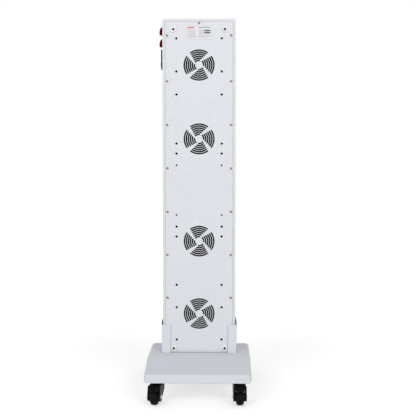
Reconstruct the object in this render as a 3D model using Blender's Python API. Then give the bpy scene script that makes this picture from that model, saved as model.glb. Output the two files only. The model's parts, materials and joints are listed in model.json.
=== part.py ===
"""Red light therapy panel standing in a wheeled base.

Metres, +Z up, origin on the floor under the middle of the base.
The lamps face -Y, the cover with the fan grilles faces +Y, the switches are on +X.
"""
import math

import bmesh
import bpy
from mathutils import Matrix

# General fits
GAP = 0.0003
SHEET = 0.0015

# Panel case
PANEL_WIDTH = 0.229
PANEL_HEIGHT = 1.067
PANEL_DEPTH = 0.070
PANEL_SETBACK = 0.0125
PANEL_SINK = 0.0194
FRONT_RIM = 0.012
COVER_RIM = 0.0088
RETURN_FLANGE = 0.0225

# Rear cover: insets are from the sides of the panel, the others from its ends
EDGE_SCREW_INSET = 0.0147
EDGE_SCREW_PITCH = 0.136
EDGE_SCREW_FROM_END = 0.052
END_SCREW_FROM_END = 0.0135
STRIP_HOLE_INSET = 0.0437
STRIP_HOLES_FROM_END = (0.0609, 0.1633, 0.2347, 0.3876, 0.4188, 0.4552)
STRIP_HOLE_RADIUS = 0.0029
LAST_HOLE_RADIUS = 0.0021
STRIP_WIDTH = 0.011
STRIP_THICK = 0.0035
BUMPER_CLEARANCE = 0.0015
BUMPER_FROM_END = 0.0332
BUMPER_RADIUS = 0.0088
BUMPER_HEIGHT = 0.005
BUMPER_EDGE = 0.0013
LABEL_WIDTH = 0.0825
LABEL_HEIGHT = 0.0476
LABEL_THICK = 0.0003
LABEL_FROM_END = 0.0435

# Holes for the screws of the case, and the room that their heads take
SCREW_HOLE = 0.0018
SCREW_HEAD = 0.0018

# Fan grilles, cut in the cover; the spokes are straight and pass beside the hub's middle
GRILLE_RINGS = 6
GRILLE_INNER = 0.0142
GRILLE_PITCH = 0.0063
GRILLE_SLOT = 0.0036
SPOKE_NEAR_ANGLE = 43.3
SPOKE_NEAR_OFFSET = 0.00835
SPOKE_FAR_ANGLE = 28.3
SPOKE_FAR_OFFSET = 0.0067

# Fans
FAN_FROM_END = 0.1435
FAN_PAIR = 0.2295
FAN_SIZE = 0.092
FAN_DEPTH = 0.025
FAN_WALL = 0.0015
FAN_CORNER = 0.0046
FAN_HOLE_INSET = 0.00475
FAN_HOLE = 0.0022
FAN_HUB = 0.0180
FAN_HUB_EDGE = 0.002
FAN_HUB_RECESS = 0.002
FAN_BLADES = 7
FAN_BLADE_CHORD = 0.016
FAN_BLADE_THICK = 0.0016
FAN_BLADE_PITCH = 38.0
FAN_BLADE_ROOT = 0.0018
FAN_TIP_GAP = 0.0015
FAN_SHAFT = 0.0022
STATOR_THICK = 0.0035
STRUT_WIDTH = 0.005

# Lamps
GASKET = 0.0057
GASKET_BAR = 0.0085
BOARD = 0.0016
BOARD_INSET = 0.0028
HEAT_PLATE = 0.003
LENS_PITCH_X = 0.0375
LENS_PITCH_Z = 0.0340
LENS_BASE = 0.0080
LENS_FACE = 0.0120
LENS_HEIGHT = 0.0048
LENS_SHEET = 0.0012

# Drivers and wiring
DRIVER_WIDTH = 0.060
DRIVER_HEIGHT = 0.105
DRIVER_DEPTH = 0.028
DRIVER_EAR = 0.009
DRIVER_EAR_THICK = 0.002
DRIVER_PAIR_GAP = 0.007
MAINS_RADIUS = 0.0032
LEAD_RADIUS = 0.0022

# Switches on the +X side
SWITCH_FROM_TOP = 0.0365
SWITCH_PITCH = 0.0372
SWITCH_BEZEL = 0.0018
SWITCH_LIP = 0.0017
SWITCH_WALL = 0.0008
SWITCH_DEPTH = 0.021
SWITCH_WELL = 0.010
ROCKER_HALF = 0.0118
ROCKER_HALF_WIDTH = 0.0078
ROCKER_PROUD = 0.0066
ROCKER_DIP = 0.0004
ROCKER_TILT = 10.0
ROCKER_SKIRT = 0.0010
ROCKER_SKIRT_INSET = 0.0004
ROCKER_TAIL = 0.0055
ROCKER_TAIL_HALF = 0.0050

# Power inlet on the +X side
INLET_FROM_TOP = 0.1241
INLET_BEZEL = 0.0050
INLET_LIP = 0.003
INLET_LAND = 0.0063
INLET_WALL = 0.0010
INLET_DEPTH = 0.027
SOCKET_HEIGHT = 0.0245
SOCKET_WIDTH = 0.0170
SOCKET_DEPTH = 0.0180
SOCKET_CORNER = 0.0042
PIN_HEIGHT = 0.0020
PIN_WIDTH = 0.0040
PIN_LENGTH = 0.0130
PIN_SPREAD_Y = 0.0020
PIN_SPREAD_Z = 0.0070
DRAWER_HEIGHT = 0.0115
DRAWER_WIDTH = 0.0220
DRAWER_DEPTH = 0.0180
DRAWER_PROUD = 0.0010
DRAWER_NOTCH_WIDTH = 0.0073
DRAWER_NOTCH_DEPTH = 0.0030
DRAWER_NOTCH_HEIGHT = 0.0032

# Uprights and their liners
LINER = 0.0016
LINER_RISE = 0.0155
LINER_SLOPE = 0.0078
LINER_INSET = 0.006
UPRIGHT_RISE = 0.089
UPRIGHT_FLANGE = 0.0275
UPRIGHT_SIDE = 0.060
UPRIGHT_FOOT = 0.020
UPRIGHT_BOLT_INSET = 0.012
BOLT_HOLE = 0.0028

# Base
BASE_SIDE_MARGIN = 0.0455
BASE_DEPTH = 0.494
BASE_HEIGHT = 0.053
BASE_FLAT = 0.204
BASE_DROP = 0.027
BASE_ROUND = 0.009
LIP_ROUND = 0.004
BASE_WALL = 0.003
BASE_PLATE = 0.003
PLATE_RAISE = 0.002
BOSS_RADIUS = 0.006
BOSS_INSET = 0.012
SHELF_SHEET = 0.0025
SHELF_FLANGE = 0.016
SHELF_MARGIN = 0.004
SHELF_BOLT_INSET = 0.055
POCKET_CLEARANCE = 0.0012

# Casters, the turn of each in degrees
CASTER_INSET_X = 0.035
CASTER_INSET_Y = 0.057
CASTER_TRAIL = 0.025
WHEEL_RADIUS = 0.025
WHEEL_HALF = 0.0122
WHEEL_CLEARANCE = 0.0072
TREAD_HALF = 0.0038
TYRE_SHOULDER = 0.0105
HUB_RADIUS = 0.0134
HUB_FILLET = 0.0009
FORK_WIDTH = 0.0396
FORK_SHEET = 0.0028
FORK_FRONT = 0.018
FORK_BROW = 0.018
FORK_EAR = 0.0145
FORK_HEEL = 0.009
FORK_HEEL_DROP = 0.008
FORK_BACK = 0.006
CUP_RADIUS = 0.0192
CUP_HEIGHT = 0.0104
CUP_EDGE = 0.002
STEM_RADIUS = 0.0050
STEM_END = 0.0090
COLLAR_RADIUS = 0.0130
COLLAR = 0.0030
RIVET_RADIUS = 0.0075
RIVET_HEAD = 0.0025
AXLE_RADIUS = 0.0040
AXLE_HEAD_RADIUS = 0.0065
AXLE_HEAD = 0.0022
AXLE_HEAD_EDGE = 0.0013
AXLE_NUT = 0.0050
PEDAL_AHEAD = 0.001
PEDAL_RISE = 0.005
PEDAL_PIN = 0.0019
PEDAL_THICK = 0.003
PEDAL_TAIL = 0.004
PEDAL_REACH = 0.0295
PEDAL_TIP_HALF = 0.011
PEDAL_TAPER = 0.022
PEDAL_DROP = 0.0065
PEDAL_HUMP = 0.0055
PEDAL_HUMP_END = 0.0045
PEDAL_SLOT = 0.008
PEDAL_LEDGE = 0.0015
REAR_LEFT_TURN = 10.5
REAR_RIGHT_TURN = -3.0
FRONT_LEFT_TURN = 12.0
FRONT_RIGHT_TURN = -8.0

# Caster heights, from the floor up to the base
crown_under = 2 * WHEEL_RADIUS + WHEEL_CLEARANCE
crown_top = crown_under + FORK_SHEET
cup_top = crown_top + CUP_HEIGHT
collar_bottom = cup_top + GAP
collar_top = collar_bottom + COLLAR
plate_bottom = collar_top + GAP
plate_top = plate_bottom + BASE_PLATE
base_bottom = plate_bottom - PLATE_RAISE
base_top = base_bottom + BASE_HEIGHT
fork_half = FORK_WIDTH / 2
fork_inner = fork_half - FORK_SHEET
pedal_out = CASTER_TRAIL + PEDAL_AHEAD
slot_half = fork_inner - PEDAL_LEDGE
pedal_height = 2 * WHEEL_RADIUS + PEDAL_RISE

# Panel: its ends and sides, then its layers from the front to the rear
half_height = PANEL_HEIGHT / 2
panel_bottom = base_top - PANEL_SINK
panel_mid = panel_bottom + half_height
panel_top = panel_bottom + PANEL_HEIGHT
panel_side = PANEL_WIDTH / 2
panel_front = PANEL_SETBACK - PANEL_DEPTH / 2
gasket_front = panel_front + SHEET + GAP
board_front = gasket_front + GASKET + GAP
lens_rear = board_front - GAP
lens_front = lens_rear - LENS_SHEET
plate_front = board_front + BOARD + GAP
plate_rear = plate_front + HEAT_PLATE
driver_seat = plate_rear + GAP
cover_face = PANEL_SETBACK + PANEL_DEPTH / 2
cover_inside = cover_face - SHEET
case_rear = cover_inside - GAP
fan_middle = case_rear - FAN_DEPTH / 2
fan_bore = FAN_SIZE / 2 - FAN_WALL

# Inside of the case, and the frame of the gasket
inside_half_width = panel_side - SHEET - 3 * GAP
inside_half_height = half_height - SHEET - 3 * GAP
gasket_in_width = inside_half_width - GASKET_BAR
gasket_in_height = inside_half_height - GASKET_BAR

# Switches and inlet, measured out from their moving pieces
switch_half_width = ROCKER_HALF_WIDTH + GAP + SWITCH_WALL
switch_half_height = ROCKER_HALF + 2 * GAP + SWITCH_WALL
inlet_half_width = max(DRAWER_WIDTH, SOCKET_WIDTH) / 2 + GAP + INLET_WALL
inlet_half_height = (SOCKET_HEIGHT + DRAWER_HEIGHT + 3 * INLET_LAND) / 2
inlet_middle = panel_top - INLET_FROM_TOP
inlet_face = panel_side + GAP + INLET_BEZEL
socket_middle = inlet_middle + inlet_half_height - INLET_LAND - SOCKET_HEIGHT / 2
drawer_middle = inlet_middle - inlet_half_height + INLET_LAND + DRAWER_HEIGHT / 2

# Uprights, and the shelf in the base that carries them and the panel
upright_in = panel_side + LINER + 2 * GAP
upright_out = upright_in + SHEET
upright_top = base_top + UPRIGHT_RISE
flange_front = cover_face + SCREW_HEAD + 3 * GAP
flange_rear = flange_front + SHEET
side_front = cover_face - UPRIGHT_SIDE
shelf_top = panel_bottom - GAP
shelf_half = upright_out + UPRIGHT_FOOT + 2 * GAP
shelf_front = side_front - SHELF_MARGIN
shelf_rear = flange_rear + SHELF_MARGIN
bumper_x = upright_out - UPRIGHT_FLANGE - BUMPER_CLEARANCE - BUMPER_RADIUS
base_half_width = panel_side + BASE_SIDE_MARGIN
base_half_depth = BASE_DEPTH / 2


def add_box(bm, x0, x1, y0, y1, z0, z1):
    """Box between two corners."""
    size = Matrix.Diagonal((x1 - x0, y1 - y0, z1 - z0, 1.0))
    move = Matrix.Translation(((x0 + x1) / 2, (y0 + y1) / 2, (z0 + z1) / 2))
    bmesh.ops.create_cube(bm, size=1.0, matrix=move @ size)


def place(axis, a, b, height):
    """Point of a section drawn across the given axis."""
    if axis == "X":
        return (height, a, b)
    if axis == "Y":
        return (a, height, b)
    return (a, b, height)


def add_loft(bm, rings, closed_loop=False):
    """Skin over a list of rings that have the same number of points."""
    rows = [[bm.verts.new(point) for point in ring] for ring in rings]
    count = len(rows[0])
    pairs = list(zip(rows, rows[1:]))
    if closed_loop:
        pairs.append((rows[-1], rows[0]))
    faces = []
    for low, high in pairs:
        for i in range(count):
            j = (i + 1) % count
            faces.append(bm.faces.new((low[i], low[j], high[j], high[i])))
    if not closed_loop:
        faces.append(bm.faces.new(rows[0][::-1]))
        faces.append(bm.faces.new(rows[-1]))
    bmesh.ops.recalc_face_normals(bm, faces=faces)


def add_prism(bm, outline, axis, low, high):
    """Flat outline drawn out along an axis."""
    rings = [[place(axis, a, b, h) for a, b in outline] for h in (low, high)]
    add_loft(bm, rings)


def circle(a, b, radius, sides, turn=0.0):
    """Points around a circle, the turn in degrees."""
    points = []
    for i in range(sides):
        angle = math.radians(turn) + 2 * math.pi * i / sides
        points.append((a + radius * math.cos(angle), b + radius * math.sin(angle)))
    return points


def add_rod(bm, axis, a, b, radius, low, high, sides=6, turn=0.0):
    """Straight rod along an axis, through the point (a, b)."""
    add_prism(bm, circle(a, b, radius, sides, turn), axis, low, high)


def add_turned(bm, axis, a, b, profile, sides, hollow=False):
    """Turned shape: profile of (radius, height) pairs around an axis."""
    rings = []
    for radius, height in profile:
        rings.append([place(axis, u, v, height) for u, v in circle(a, b, radius, sides)])
    add_loft(bm, rings, closed_loop=hollow)


def to_mesh(bm):
    mesh = bpy.data.meshes.new("shape")
    bm.to_mesh(mesh)
    bm.free()
    return mesh


def box_mesh(x0, x1, y0, y1, z0, z1):
    bm = bmesh.new()
    add_box(bm, x0, x1, y0, y1, z0, z1)
    return to_mesh(bm)


def prism_mesh(outline, axis, low, high):
    bm = bmesh.new()
    add_prism(bm, outline, axis, low, high)
    return to_mesh(bm)


def combine(mesh, bm, operation):
    """Boolean of a mesh with the solids in a bmesh."""
    host = bpy.data.objects.new("host", mesh)
    guest = bpy.data.objects.new("guest", to_mesh(bm))
    for item in (host, guest):
        bpy.context.scene.collection.objects.link(item)
    step = host.modifiers.new("combine", "BOOLEAN")
    step.operation = operation
    step.solver = "EXACT"
    step.object = guest
    graph = bpy.context.evaluated_depsgraph_get()
    result = bpy.data.meshes.new_from_object(host.evaluated_get(graph))
    for item in (host, guest):
        bpy.data.objects.remove(item)
    return result


def cut(mesh, bm):
    return combine(mesh, bm, "DIFFERENCE")


def join(mesh, bm):
    return combine(mesh, bm, "UNION")


def make_material(name, colour, roughness, metallic=0.0):
    material = bpy.data.materials.new(name)
    material.use_nodes = True
    shader = material.node_tree.nodes["Principled BSDF"]
    shader.inputs["Base Color"].default_value = (*colour, 1.0)
    shader.inputs["Roughness"].default_value = roughness
    shader.inputs["Metallic"].default_value = metallic
    return material


def add_object(name, mesh, material, location=(0, 0, 0), turn=0.0, smooth=False):
    """One named piece; the turn about Z is in degrees."""
    piece = bpy.data.objects.new(name, mesh)
    piece.location = location
    piece.rotation_euler = (0.0, 0.0, math.radians(turn))
    bpy.context.scene.collection.objects.link(piece)
    mesh.materials.clear()
    mesh.materials.append(material)
    if smooth:
        mesh.shade_smooth()
        mesh.set_sharp_from_angle(angle=math.radians(35))
    return piece


def both_signs(values):
    return [sign * value for value in values for sign in (1, -1)]


def fan_heights():
    """Heights of the fans above the middle of the panel, from the top down."""
    outer = half_height - FAN_FROM_END
    return sorted(both_signs((outer, outer - FAN_PAIR)), reverse=True)


def driver_heights():
    """Heights of the drivers, one pair at the middle and one between each pair of fans."""
    inner = (DRIVER_HEIGHT + DRIVER_PAIR_GAP) / 2
    outer = half_height - FAN_FROM_END - FAN_PAIR / 2
    return sorted(both_signs((inner, outer)), reverse=True)


def switch_heights():
    upper = half_height - SWITCH_FROM_TOP
    return (("lower", upper - SWITCH_PITCH), ("upper", upper))


def cover_screw_places():
    """Places of the cover screws as (x, z), z from the middle of the panel."""
    last = half_height - EDGE_SCREW_FROM_END
    rows = [EDGE_SCREW_PITCH * (i + 0.5) for i in range(int(last / EDGE_SCREW_PITCH))] + [last]
    side = panel_side - EDGE_SCREW_INSET
    places = [(x, row) for row in both_signs(rows) for x in (side, -side)]
    return places + [(0.0, row) for row in both_signs([half_height - END_SCREW_FROM_END])]


def strip_holes():
    """Row and radius of each hole along a tapped strip; the two nearest the middle are smaller."""
    rows = [half_height - inset for inset in STRIP_HOLES_FROM_END]
    holes = [(row, STRIP_HOLE_RADIUS) for row in both_signs(rows[:-1])]
    return holes + [(row, LAST_HOLE_RADIUS) for row in both_signs(rows[-1:])]


def bumper_places():
    end = half_height - BUMPER_FROM_END
    return [(x, z) for x in (bumper_x, -bumper_x) for z in (end, -end)]


def slot_outline(radius, quadrant, steps):
    """One curved grille slot, seen from behind, x to the right and z up."""
    start = SPOKE_NEAR_ANGLE + math.degrees(math.asin(SPOKE_NEAR_OFFSET / radius))
    end = 90 + SPOKE_FAR_ANGLE + math.degrees(math.asin(SPOKE_FAR_OFFSET / radius))
    angles = [math.radians(start + (end - start) * i / steps + 90 * quadrant) for i in range(steps + 1)]
    outer = radius + GRILLE_SLOT / 2
    inner = radius - GRILLE_SLOT / 2
    points = [(outer * math.cos(a), outer * math.sin(a)) for a in angles]
    points += [(inner * math.cos(a), inner * math.sin(a)) for a in reversed(angles)]
    return points


def build_housing(white):
    """Folded tray with a window in front, return flanges behind and the side cut-outs."""
    housing = box_mesh(-panel_side, panel_side, panel_front, case_rear, panel_bottom, panel_top)
    inner = panel_side - SHEET
    bm = bmesh.new()
    add_box(bm, -inner, inner, panel_front + SHEET, case_rear - SHEET,
            panel_bottom + SHEET, panel_top - SHEET)
    housing = cut(housing, bm)
    bm = bmesh.new()
    window = panel_side - FRONT_RIM
    add_box(bm, -window, window, panel_front - SHEET, panel_front + 2 * SHEET,
            panel_bottom + FRONT_RIM, panel_top - FRONT_RIM)
    opening = panel_side - RETURN_FLANGE
    add_box(bm, -opening, opening, case_rear - 2 * SHEET, case_rear + SHEET,
            panel_bottom + RETURN_FLANGE, panel_top - RETURN_FLANGE)
    fittings = [(panel_mid + row, switch_half_width, switch_half_height) for name, row in switch_heights()]
    fittings.append((inlet_middle, inlet_half_width, inlet_half_height))
    for middle, half_width, half_tall in fittings:
        add_box(bm, panel_side - 2 * SHEET, panel_side + SHEET,
                PANEL_SETBACK - half_width - GAP, PANEL_SETBACK + half_width + GAP,
                middle - half_tall - GAP, middle + half_tall + GAP)
    for x, row in cover_screw_places():
        add_rod(bm, "Y", x, panel_mid + row, SCREW_HOLE, case_rear - 2 * SHEET, case_rear + SHEET)
    add_object("main_housing", cut(housing, bm), white)


def build_cover(white):
    """Flat rear cover with its grilles and holes."""
    half_width = panel_side - COVER_RIM
    cover = box_mesh(-half_width, half_width, cover_inside, cover_face,
                     panel_bottom + COVER_RIM, panel_top - COVER_RIM)
    low, high = cover_inside - SHEET, cover_face + SHEET
    bm = bmesh.new()
    for fan_z in fan_heights():
        for ring in range(GRILLE_RINGS):
            radius = GRILLE_INNER + GRILLE_PITCH * ring
            for quadrant in range(4):
                outline = slot_outline(radius, quadrant, 2 + ring // 2)
                outline = [(-u, panel_mid + fan_z + v) for u, v in outline]
                add_prism(bm, outline, "Y", low, high)
    strip_x = panel_side - STRIP_HOLE_INSET
    for x, row in cover_screw_places() + bumper_places():
        add_rod(bm, "Y", x, panel_mid + row, SCREW_HOLE, low, high)
    for row, radius in strip_holes():
        for x in (strip_x, -strip_x):
            add_rod(bm, "Y", x, panel_mid + row, radius, low, high)
    add_object("rear_cover", cut(cover, bm), white)


def build_strips(steel):
    """Tapped strips behind the two rows of holes in the cover."""
    half_length = max(row for row, radius in strip_holes()) + STRIP_WIDTH
    for name, side in (("left", 1), ("right", -1)):
        x = side * (panel_side - STRIP_HOLE_INSET)
        strip = box_mesh(x - STRIP_WIDTH / 2, x + STRIP_WIDTH / 2, case_rear - STRIP_THICK, case_rear,
                         panel_mid - half_length, panel_mid + half_length)
        bm = bmesh.new()
        for row, radius in strip_holes():
            add_rod(bm, "Y", x, panel_mid + row, radius, case_rear - 2 * STRIP_THICK, case_rear + SHEET)
        add_object("tapped_strip_" + name, cut(strip, bm), steel)


def build_bumpers(rubber):
    profile = [(SCREW_HOLE, 0), (BUMPER_RADIUS, 0), (BUMPER_RADIUS, BUMPER_HEIGHT - BUMPER_EDGE),
               (BUMPER_RADIUS - BUMPER_EDGE, BUMPER_HEIGHT), (SCREW_HOLE, BUMPER_HEIGHT)]
    for i, (x, row) in enumerate(bumper_places()):
        bm = bmesh.new()
        add_turned(bm, "Y", 0, 0, profile, 12, hollow=True)
        spot = (x, cover_face + GAP, panel_mid + row)
        add_object("corner_bumper_%d" % (i + 1), to_mesh(bm), rubber, spot, smooth=True)


def build_label(paper):
    middle = panel_top - LABEL_FROM_END
    seat = cover_face + GAP
    label = box_mesh(-LABEL_WIDTH / 2, LABEL_WIDTH / 2, seat, seat + LABEL_THICK,
                     middle - LABEL_HEIGHT / 2, middle + LABEL_HEIGHT / 2)
    add_object("rating_label", label, paper)


def fan_frame_mesh():
    """Fan frame around its own middle: square ring, four struts and the motor plate on the -Y side."""
    half = FAN_SIZE / 2
    corner = half - FAN_CORNER
    outline = [(half, -corner), (half, corner), (corner, half), (-corner, half),
               (-half, corner), (-half, -corner), (-corner, -half), (corner, -half)]
    frame = prism_mesh(outline, "Y", -FAN_DEPTH / 2, FAN_DEPTH / 2)
    bm = bmesh.new()
    add_rod(bm, "Y", 0, 0, fan_bore, -FAN_DEPTH, FAN_DEPTH, 24, 7.5)
    hole = half - FAN_HOLE_INSET
    for x in (hole, -hole):
        for z in (hole, -hole):
            add_rod(bm, "Y", x, z, FAN_HOLE, -FAN_DEPTH, FAN_DEPTH)
    frame = cut(frame, bm)
    low = -FAN_DEPTH / 2
    high = low + STATOR_THICK
    reach = (fan_bore + half) / 2
    bar = STRUT_WIDTH / 2
    for across, along in ((reach, bar), (bar, reach)):
        bm = bmesh.new()
        add_box(bm, -across, across, low, high, -along, along)
        frame = join(frame, bm)
    bm = bmesh.new()
    add_rod(bm, "Y", 0, 0, FAN_HUB, low, high, 12, 15)
    frame = join(frame, bm)
    bm = bmesh.new()
    add_rod(bm, "Y", 0, 0, FAN_SHAFT + GAP, low - STATOR_THICK, high + STATOR_THICK, 8)
    return cut(frame, bm)


def fan_rotor_mesh():
    """Rotor around its own axis: hub, shaft and pitched blades in one body."""
    low = -FAN_DEPTH / 2
    hub_low = low + STATOR_THICK + 2 * GAP
    hub_high = FAN_DEPTH / 2 - FAN_HUB_RECESS
    profile = [(FAN_SHAFT, low), (FAN_SHAFT, hub_low), (FAN_HUB, hub_low), (FAN_HUB, hub_high - FAN_HUB_EDGE),
               (FAN_HUB - FAN_HUB_EDGE, hub_high)]
    bm = bmesh.new()
    add_turned(bm, "Y", 0, 0, profile, 16)
    rotor = to_mesh(bm)
    root = FAN_HUB - FAN_BLADE_ROOT
    tip = fan_bore - FAN_TIP_GAP
    size = Matrix.Diagonal((tip - root, FAN_BLADE_THICK, FAN_BLADE_CHORD, 1.0))
    lean = Matrix.Rotation(math.radians(90 - FAN_BLADE_PITCH), 4, "X")
    out = Matrix.Translation(((tip + root) / 2, (hub_low + hub_high) / 2, 0))
    bm = bmesh.new()
    for i in range(FAN_BLADES):
        around = Matrix.Rotation(2 * math.pi * i / FAN_BLADES, 4, "Y")
        bmesh.ops.create_cube(bm, size=1.0, matrix=around @ out @ lean @ size)
    return join(rotor, bm)


def build_fans(black):
    frame = fan_frame_mesh()
    rotor = fan_rotor_mesh()
    for i, row in enumerate(fan_heights()):
        spot = (0, fan_middle, panel_mid + row)
        add_object("fan_frame_%d" % (i + 1), frame, black, spot)
        add_object("fan_rotor_%d" % (i + 1), rotor, black, spot)


def lens_places(side):
    """Lens places on the upper (1) or lower (-1) board, as (x, z), as many as fit in the gasket."""
    columns = 1 + int(2 * (gasket_in_width - LENS_FACE) / LENS_PITCH_X)
    rows = int((gasket_in_height - LENS_FACE) / LENS_PITCH_Z + 0.5)
    places = []
    for i in range(columns):
        x = (i - (columns - 1) / 2) * LENS_PITCH_X
        places += [(x, side * LENS_PITCH_Z * (j + 0.5)) for j in range(rows)]
    return places


def build_lamps(black_rubber, aluminium, board_white, lens_clear):
    """Gasket, lamp boards, moulded lens sheets and the heat plate behind them."""
    gasket = box_mesh(-inside_half_width, inside_half_width, gasket_front, gasket_front + GASKET,
                      panel_mid - inside_half_height, panel_mid + inside_half_height)
    bm = bmesh.new()
    add_box(bm, -gasket_in_width, gasket_in_width, gasket_front - GASKET, gasket_front + 2 * GASKET,
            panel_mid - gasket_in_height, panel_mid + gasket_in_height)
    add_object("front_gasket", cut(gasket, bm), black_rubber)

    board_x = inside_half_width - BOARD_INSET
    board_z = inside_half_height - BOARD_INSET
    sheet_x = gasket_in_width - 2 * GAP
    sheet_z = gasket_in_height - 2 * GAP
    for name, side in (("upper", 1), ("lower", -1)):
        ends = sorted((panel_mid + side * GAP, panel_mid + side * board_z))
        board = box_mesh(-board_x, board_x, board_front, board_front + BOARD, *ends)
        add_object("lamp_board_" + name, board, board_white)
        ends = sorted((panel_mid + side * GAP, panel_mid + side * sheet_z))
        lenses = box_mesh(-sheet_x, sheet_x, lens_front, lens_rear, *ends)
        profile = [(LENS_FACE, lens_front - LENS_HEIGHT), (LENS_BASE, (lens_front + lens_rear) / 2)]
        bm = bmesh.new()
        for x, row in lens_places(side):
            add_turned(bm, "Y", x, panel_mid + row, profile, 6)
        add_object("lens_sheet_" + name, join(lenses, bm), lens_clear)

    plate = box_mesh(-inside_half_width, inside_half_width, plate_front, plate_rear,
                     panel_mid - inside_half_height, panel_mid + inside_half_height)
    add_object("heat_plate", plate, aluminium)


def build_drivers(driver_grey, cable_black, cable_red):
    """Lamp drivers on the heat plate, and the two harnesses beside them."""
    half = DRIVER_HEIGHT / 2
    body = half - DRIVER_EAR
    ear = driver_seat + DRIVER_EAR_THICK
    top = driver_seat + DRIVER_DEPTH
    outline = [(driver_seat, -half), (driver_seat, half), (ear, half), (ear, body), (top, body),
               (top, -body), (ear, -body), (ear, -half)]
    for i, row in enumerate(driver_heights()):
        section = [(y, panel_mid + row + z) for y, z in outline]
        driver = prism_mesh(section, "X", -DRIVER_WIDTH / 2, DRIVER_WIDTH / 2)
        add_object("lamp_driver_%d" % (i + 1), driver, driver_grey)

    lane = (DRIVER_WIDTH / 2 + panel_side - STRIP_HOLE_INSET) / 2
    low = panel_mid + min(driver_heights()) - half
    high = panel_mid + max(row for name, row in switch_heights())
    for name, x, radius, colour in (("mains_harness", lane, MAINS_RADIUS, cable_black),
                                    ("lamp_harness", -lane, LEAD_RADIUS, cable_red)):
        bm = bmesh.new()
        add_rod(bm, "Z", x, driver_seat + radius, radius, low, high, 6, 30)
        add_object(name, to_mesh(bm), colour, smooth=True)


def switch_body_mesh():
    """Switch body seen along X: bezel outside the case wall, box through the cut-out."""
    face = GAP + SWITCH_BEZEL
    y = switch_half_width + SWITCH_LIP
    z = switch_half_height + SWITCH_LIP
    body = box_mesh(GAP, face, -y, y, -z, z)
    bm = bmesh.new()
    add_box(bm, face - SWITCH_DEPTH, GAP + SWITCH_BEZEL / 2, -switch_half_width, switch_half_width,
            -switch_half_height, switch_half_height)
    body = join(body, bm)
    bm = bmesh.new()
    y = ROCKER_HALF_WIDTH + GAP
    z = ROCKER_HALF + 2 * GAP
    add_box(bm, face - SWITCH_WELL, face + SWITCH_BEZEL, -y, y, -z, z)
    return cut(body, bm)


def rocker_mesh():
    """Rocker around its pivot, which lies along Y in the plane of the bezel's face."""
    skirt = ROCKER_HALF - ROCKER_SKIRT_INSET
    steps = 6
    outline = [(-ROCKER_TAIL, -ROCKER_TAIL_HALF), (-ROCKER_TAIL, ROCKER_TAIL_HALF), (-ROCKER_SKIRT, skirt)]
    for i in range(steps + 1):
        share = 1 - 2 * i / steps
        outline.append((ROCKER_PROUD - ROCKER_DIP * (1 - share ** 2), ROCKER_HALF * share))
    outline.append((-ROCKER_SKIRT, -skirt))
    # a rocker rests at one end of its tilt, with its lower half out
    sine = math.sin(math.radians(ROCKER_TILT))
    cosine = math.cos(math.radians(ROCKER_TILT))
    # the outline is given as (x, z) and drawn along Y
    outline = [(x * cosine - z * sine, x * sine + z * cosine) for x, z in outline]
    return prism_mesh(outline, "Y", -ROCKER_HALF_WIDTH, ROCKER_HALF_WIDTH)


def build_switches(black, red):
    body = switch_body_mesh()
    rocker = rocker_mesh()
    for name, row in switch_heights():
        add_object("switch_body_" + name, body, black, (panel_side, PANEL_SETBACK, panel_mid + row))
        pivot = (panel_side + GAP + SWITCH_BEZEL, PANEL_SETBACK, panel_mid + row)
        add_object("rocker_" + name, rocker, red, pivot, smooth=True)


def build_inlet(black):
    """Mains inlet with its pins, and the fuse drawer in it."""
    y = inlet_half_width + INLET_LIP
    z = inlet_half_height + INLET_LIP
    inlet = box_mesh(panel_side + GAP, inlet_face, PANEL_SETBACK - y, PANEL_SETBACK + y,
                     inlet_middle - z, inlet_middle + z)
    bm = bmesh.new()
    add_box(bm, inlet_face - INLET_DEPTH, inlet_face - INLET_BEZEL / 2,
            PANEL_SETBACK - inlet_half_width, PANEL_SETBACK + inlet_half_width,
            inlet_middle - inlet_half_height, inlet_middle + inlet_half_height)
    inlet = join(inlet, bm)

    y = SOCKET_WIDTH / 2
    z = SOCKET_HEIGHT / 2
    outline = [(-y, -z), (y - SOCKET_CORNER, -z), (y, SOCKET_CORNER - z), (y, z - SOCKET_CORNER),
               (y - SOCKET_CORNER, z), (-y, z)]
    outline = [(PANEL_SETBACK + a, socket_middle + b) for a, b in outline]
    root = inlet_face - SOCKET_DEPTH
    bm = bmesh.new()
    add_prism(bm, outline, "X", root, inlet_face + INLET_BEZEL)
    y = DRAWER_WIDTH / 2 + GAP
    z = DRAWER_HEIGHT / 2 + GAP
    add_box(bm, inlet_face - DRAWER_DEPTH - GAP, inlet_face + INLET_BEZEL,
            PANEL_SETBACK - y, PANEL_SETBACK + y, drawer_middle - z, drawer_middle + z)
    inlet = cut(inlet, bm)

    bm = bmesh.new()
    for dy, dz in ((-PIN_SPREAD_Y, -PIN_SPREAD_Z), (-PIN_SPREAD_Y, PIN_SPREAD_Z), (PIN_SPREAD_Y, 0.0)):
        y = PANEL_SETBACK + dy
        z = socket_middle + dz
        add_box(bm, root - PIN_HEIGHT, root + PIN_LENGTH, y - PIN_WIDTH / 2, y + PIN_WIDTH / 2,
                z - PIN_HEIGHT / 2, z + PIN_HEIGHT / 2)
    add_object("power_inlet", join(inlet, bm), black)

    y = DRAWER_WIDTH / 2
    z = DRAWER_HEIGHT / 2
    drawer = box_mesh(-DRAWER_DEPTH, DRAWER_PROUD, -y, y, -z, z)
    bm = bmesh.new()
    add_box(bm, -DRAWER_NOTCH_DEPTH, 2 * DRAWER_PROUD, -DRAWER_NOTCH_WIDTH / 2, DRAWER_NOTCH_WIDTH / 2,
            z - DRAWER_NOTCH_HEIGHT, z + DRAWER_NOTCH_HEIGHT)
    add_object("fuse_drawer", cut(drawer, bm), black, (inlet_face, PANEL_SETBACK, drawer_middle))


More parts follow.
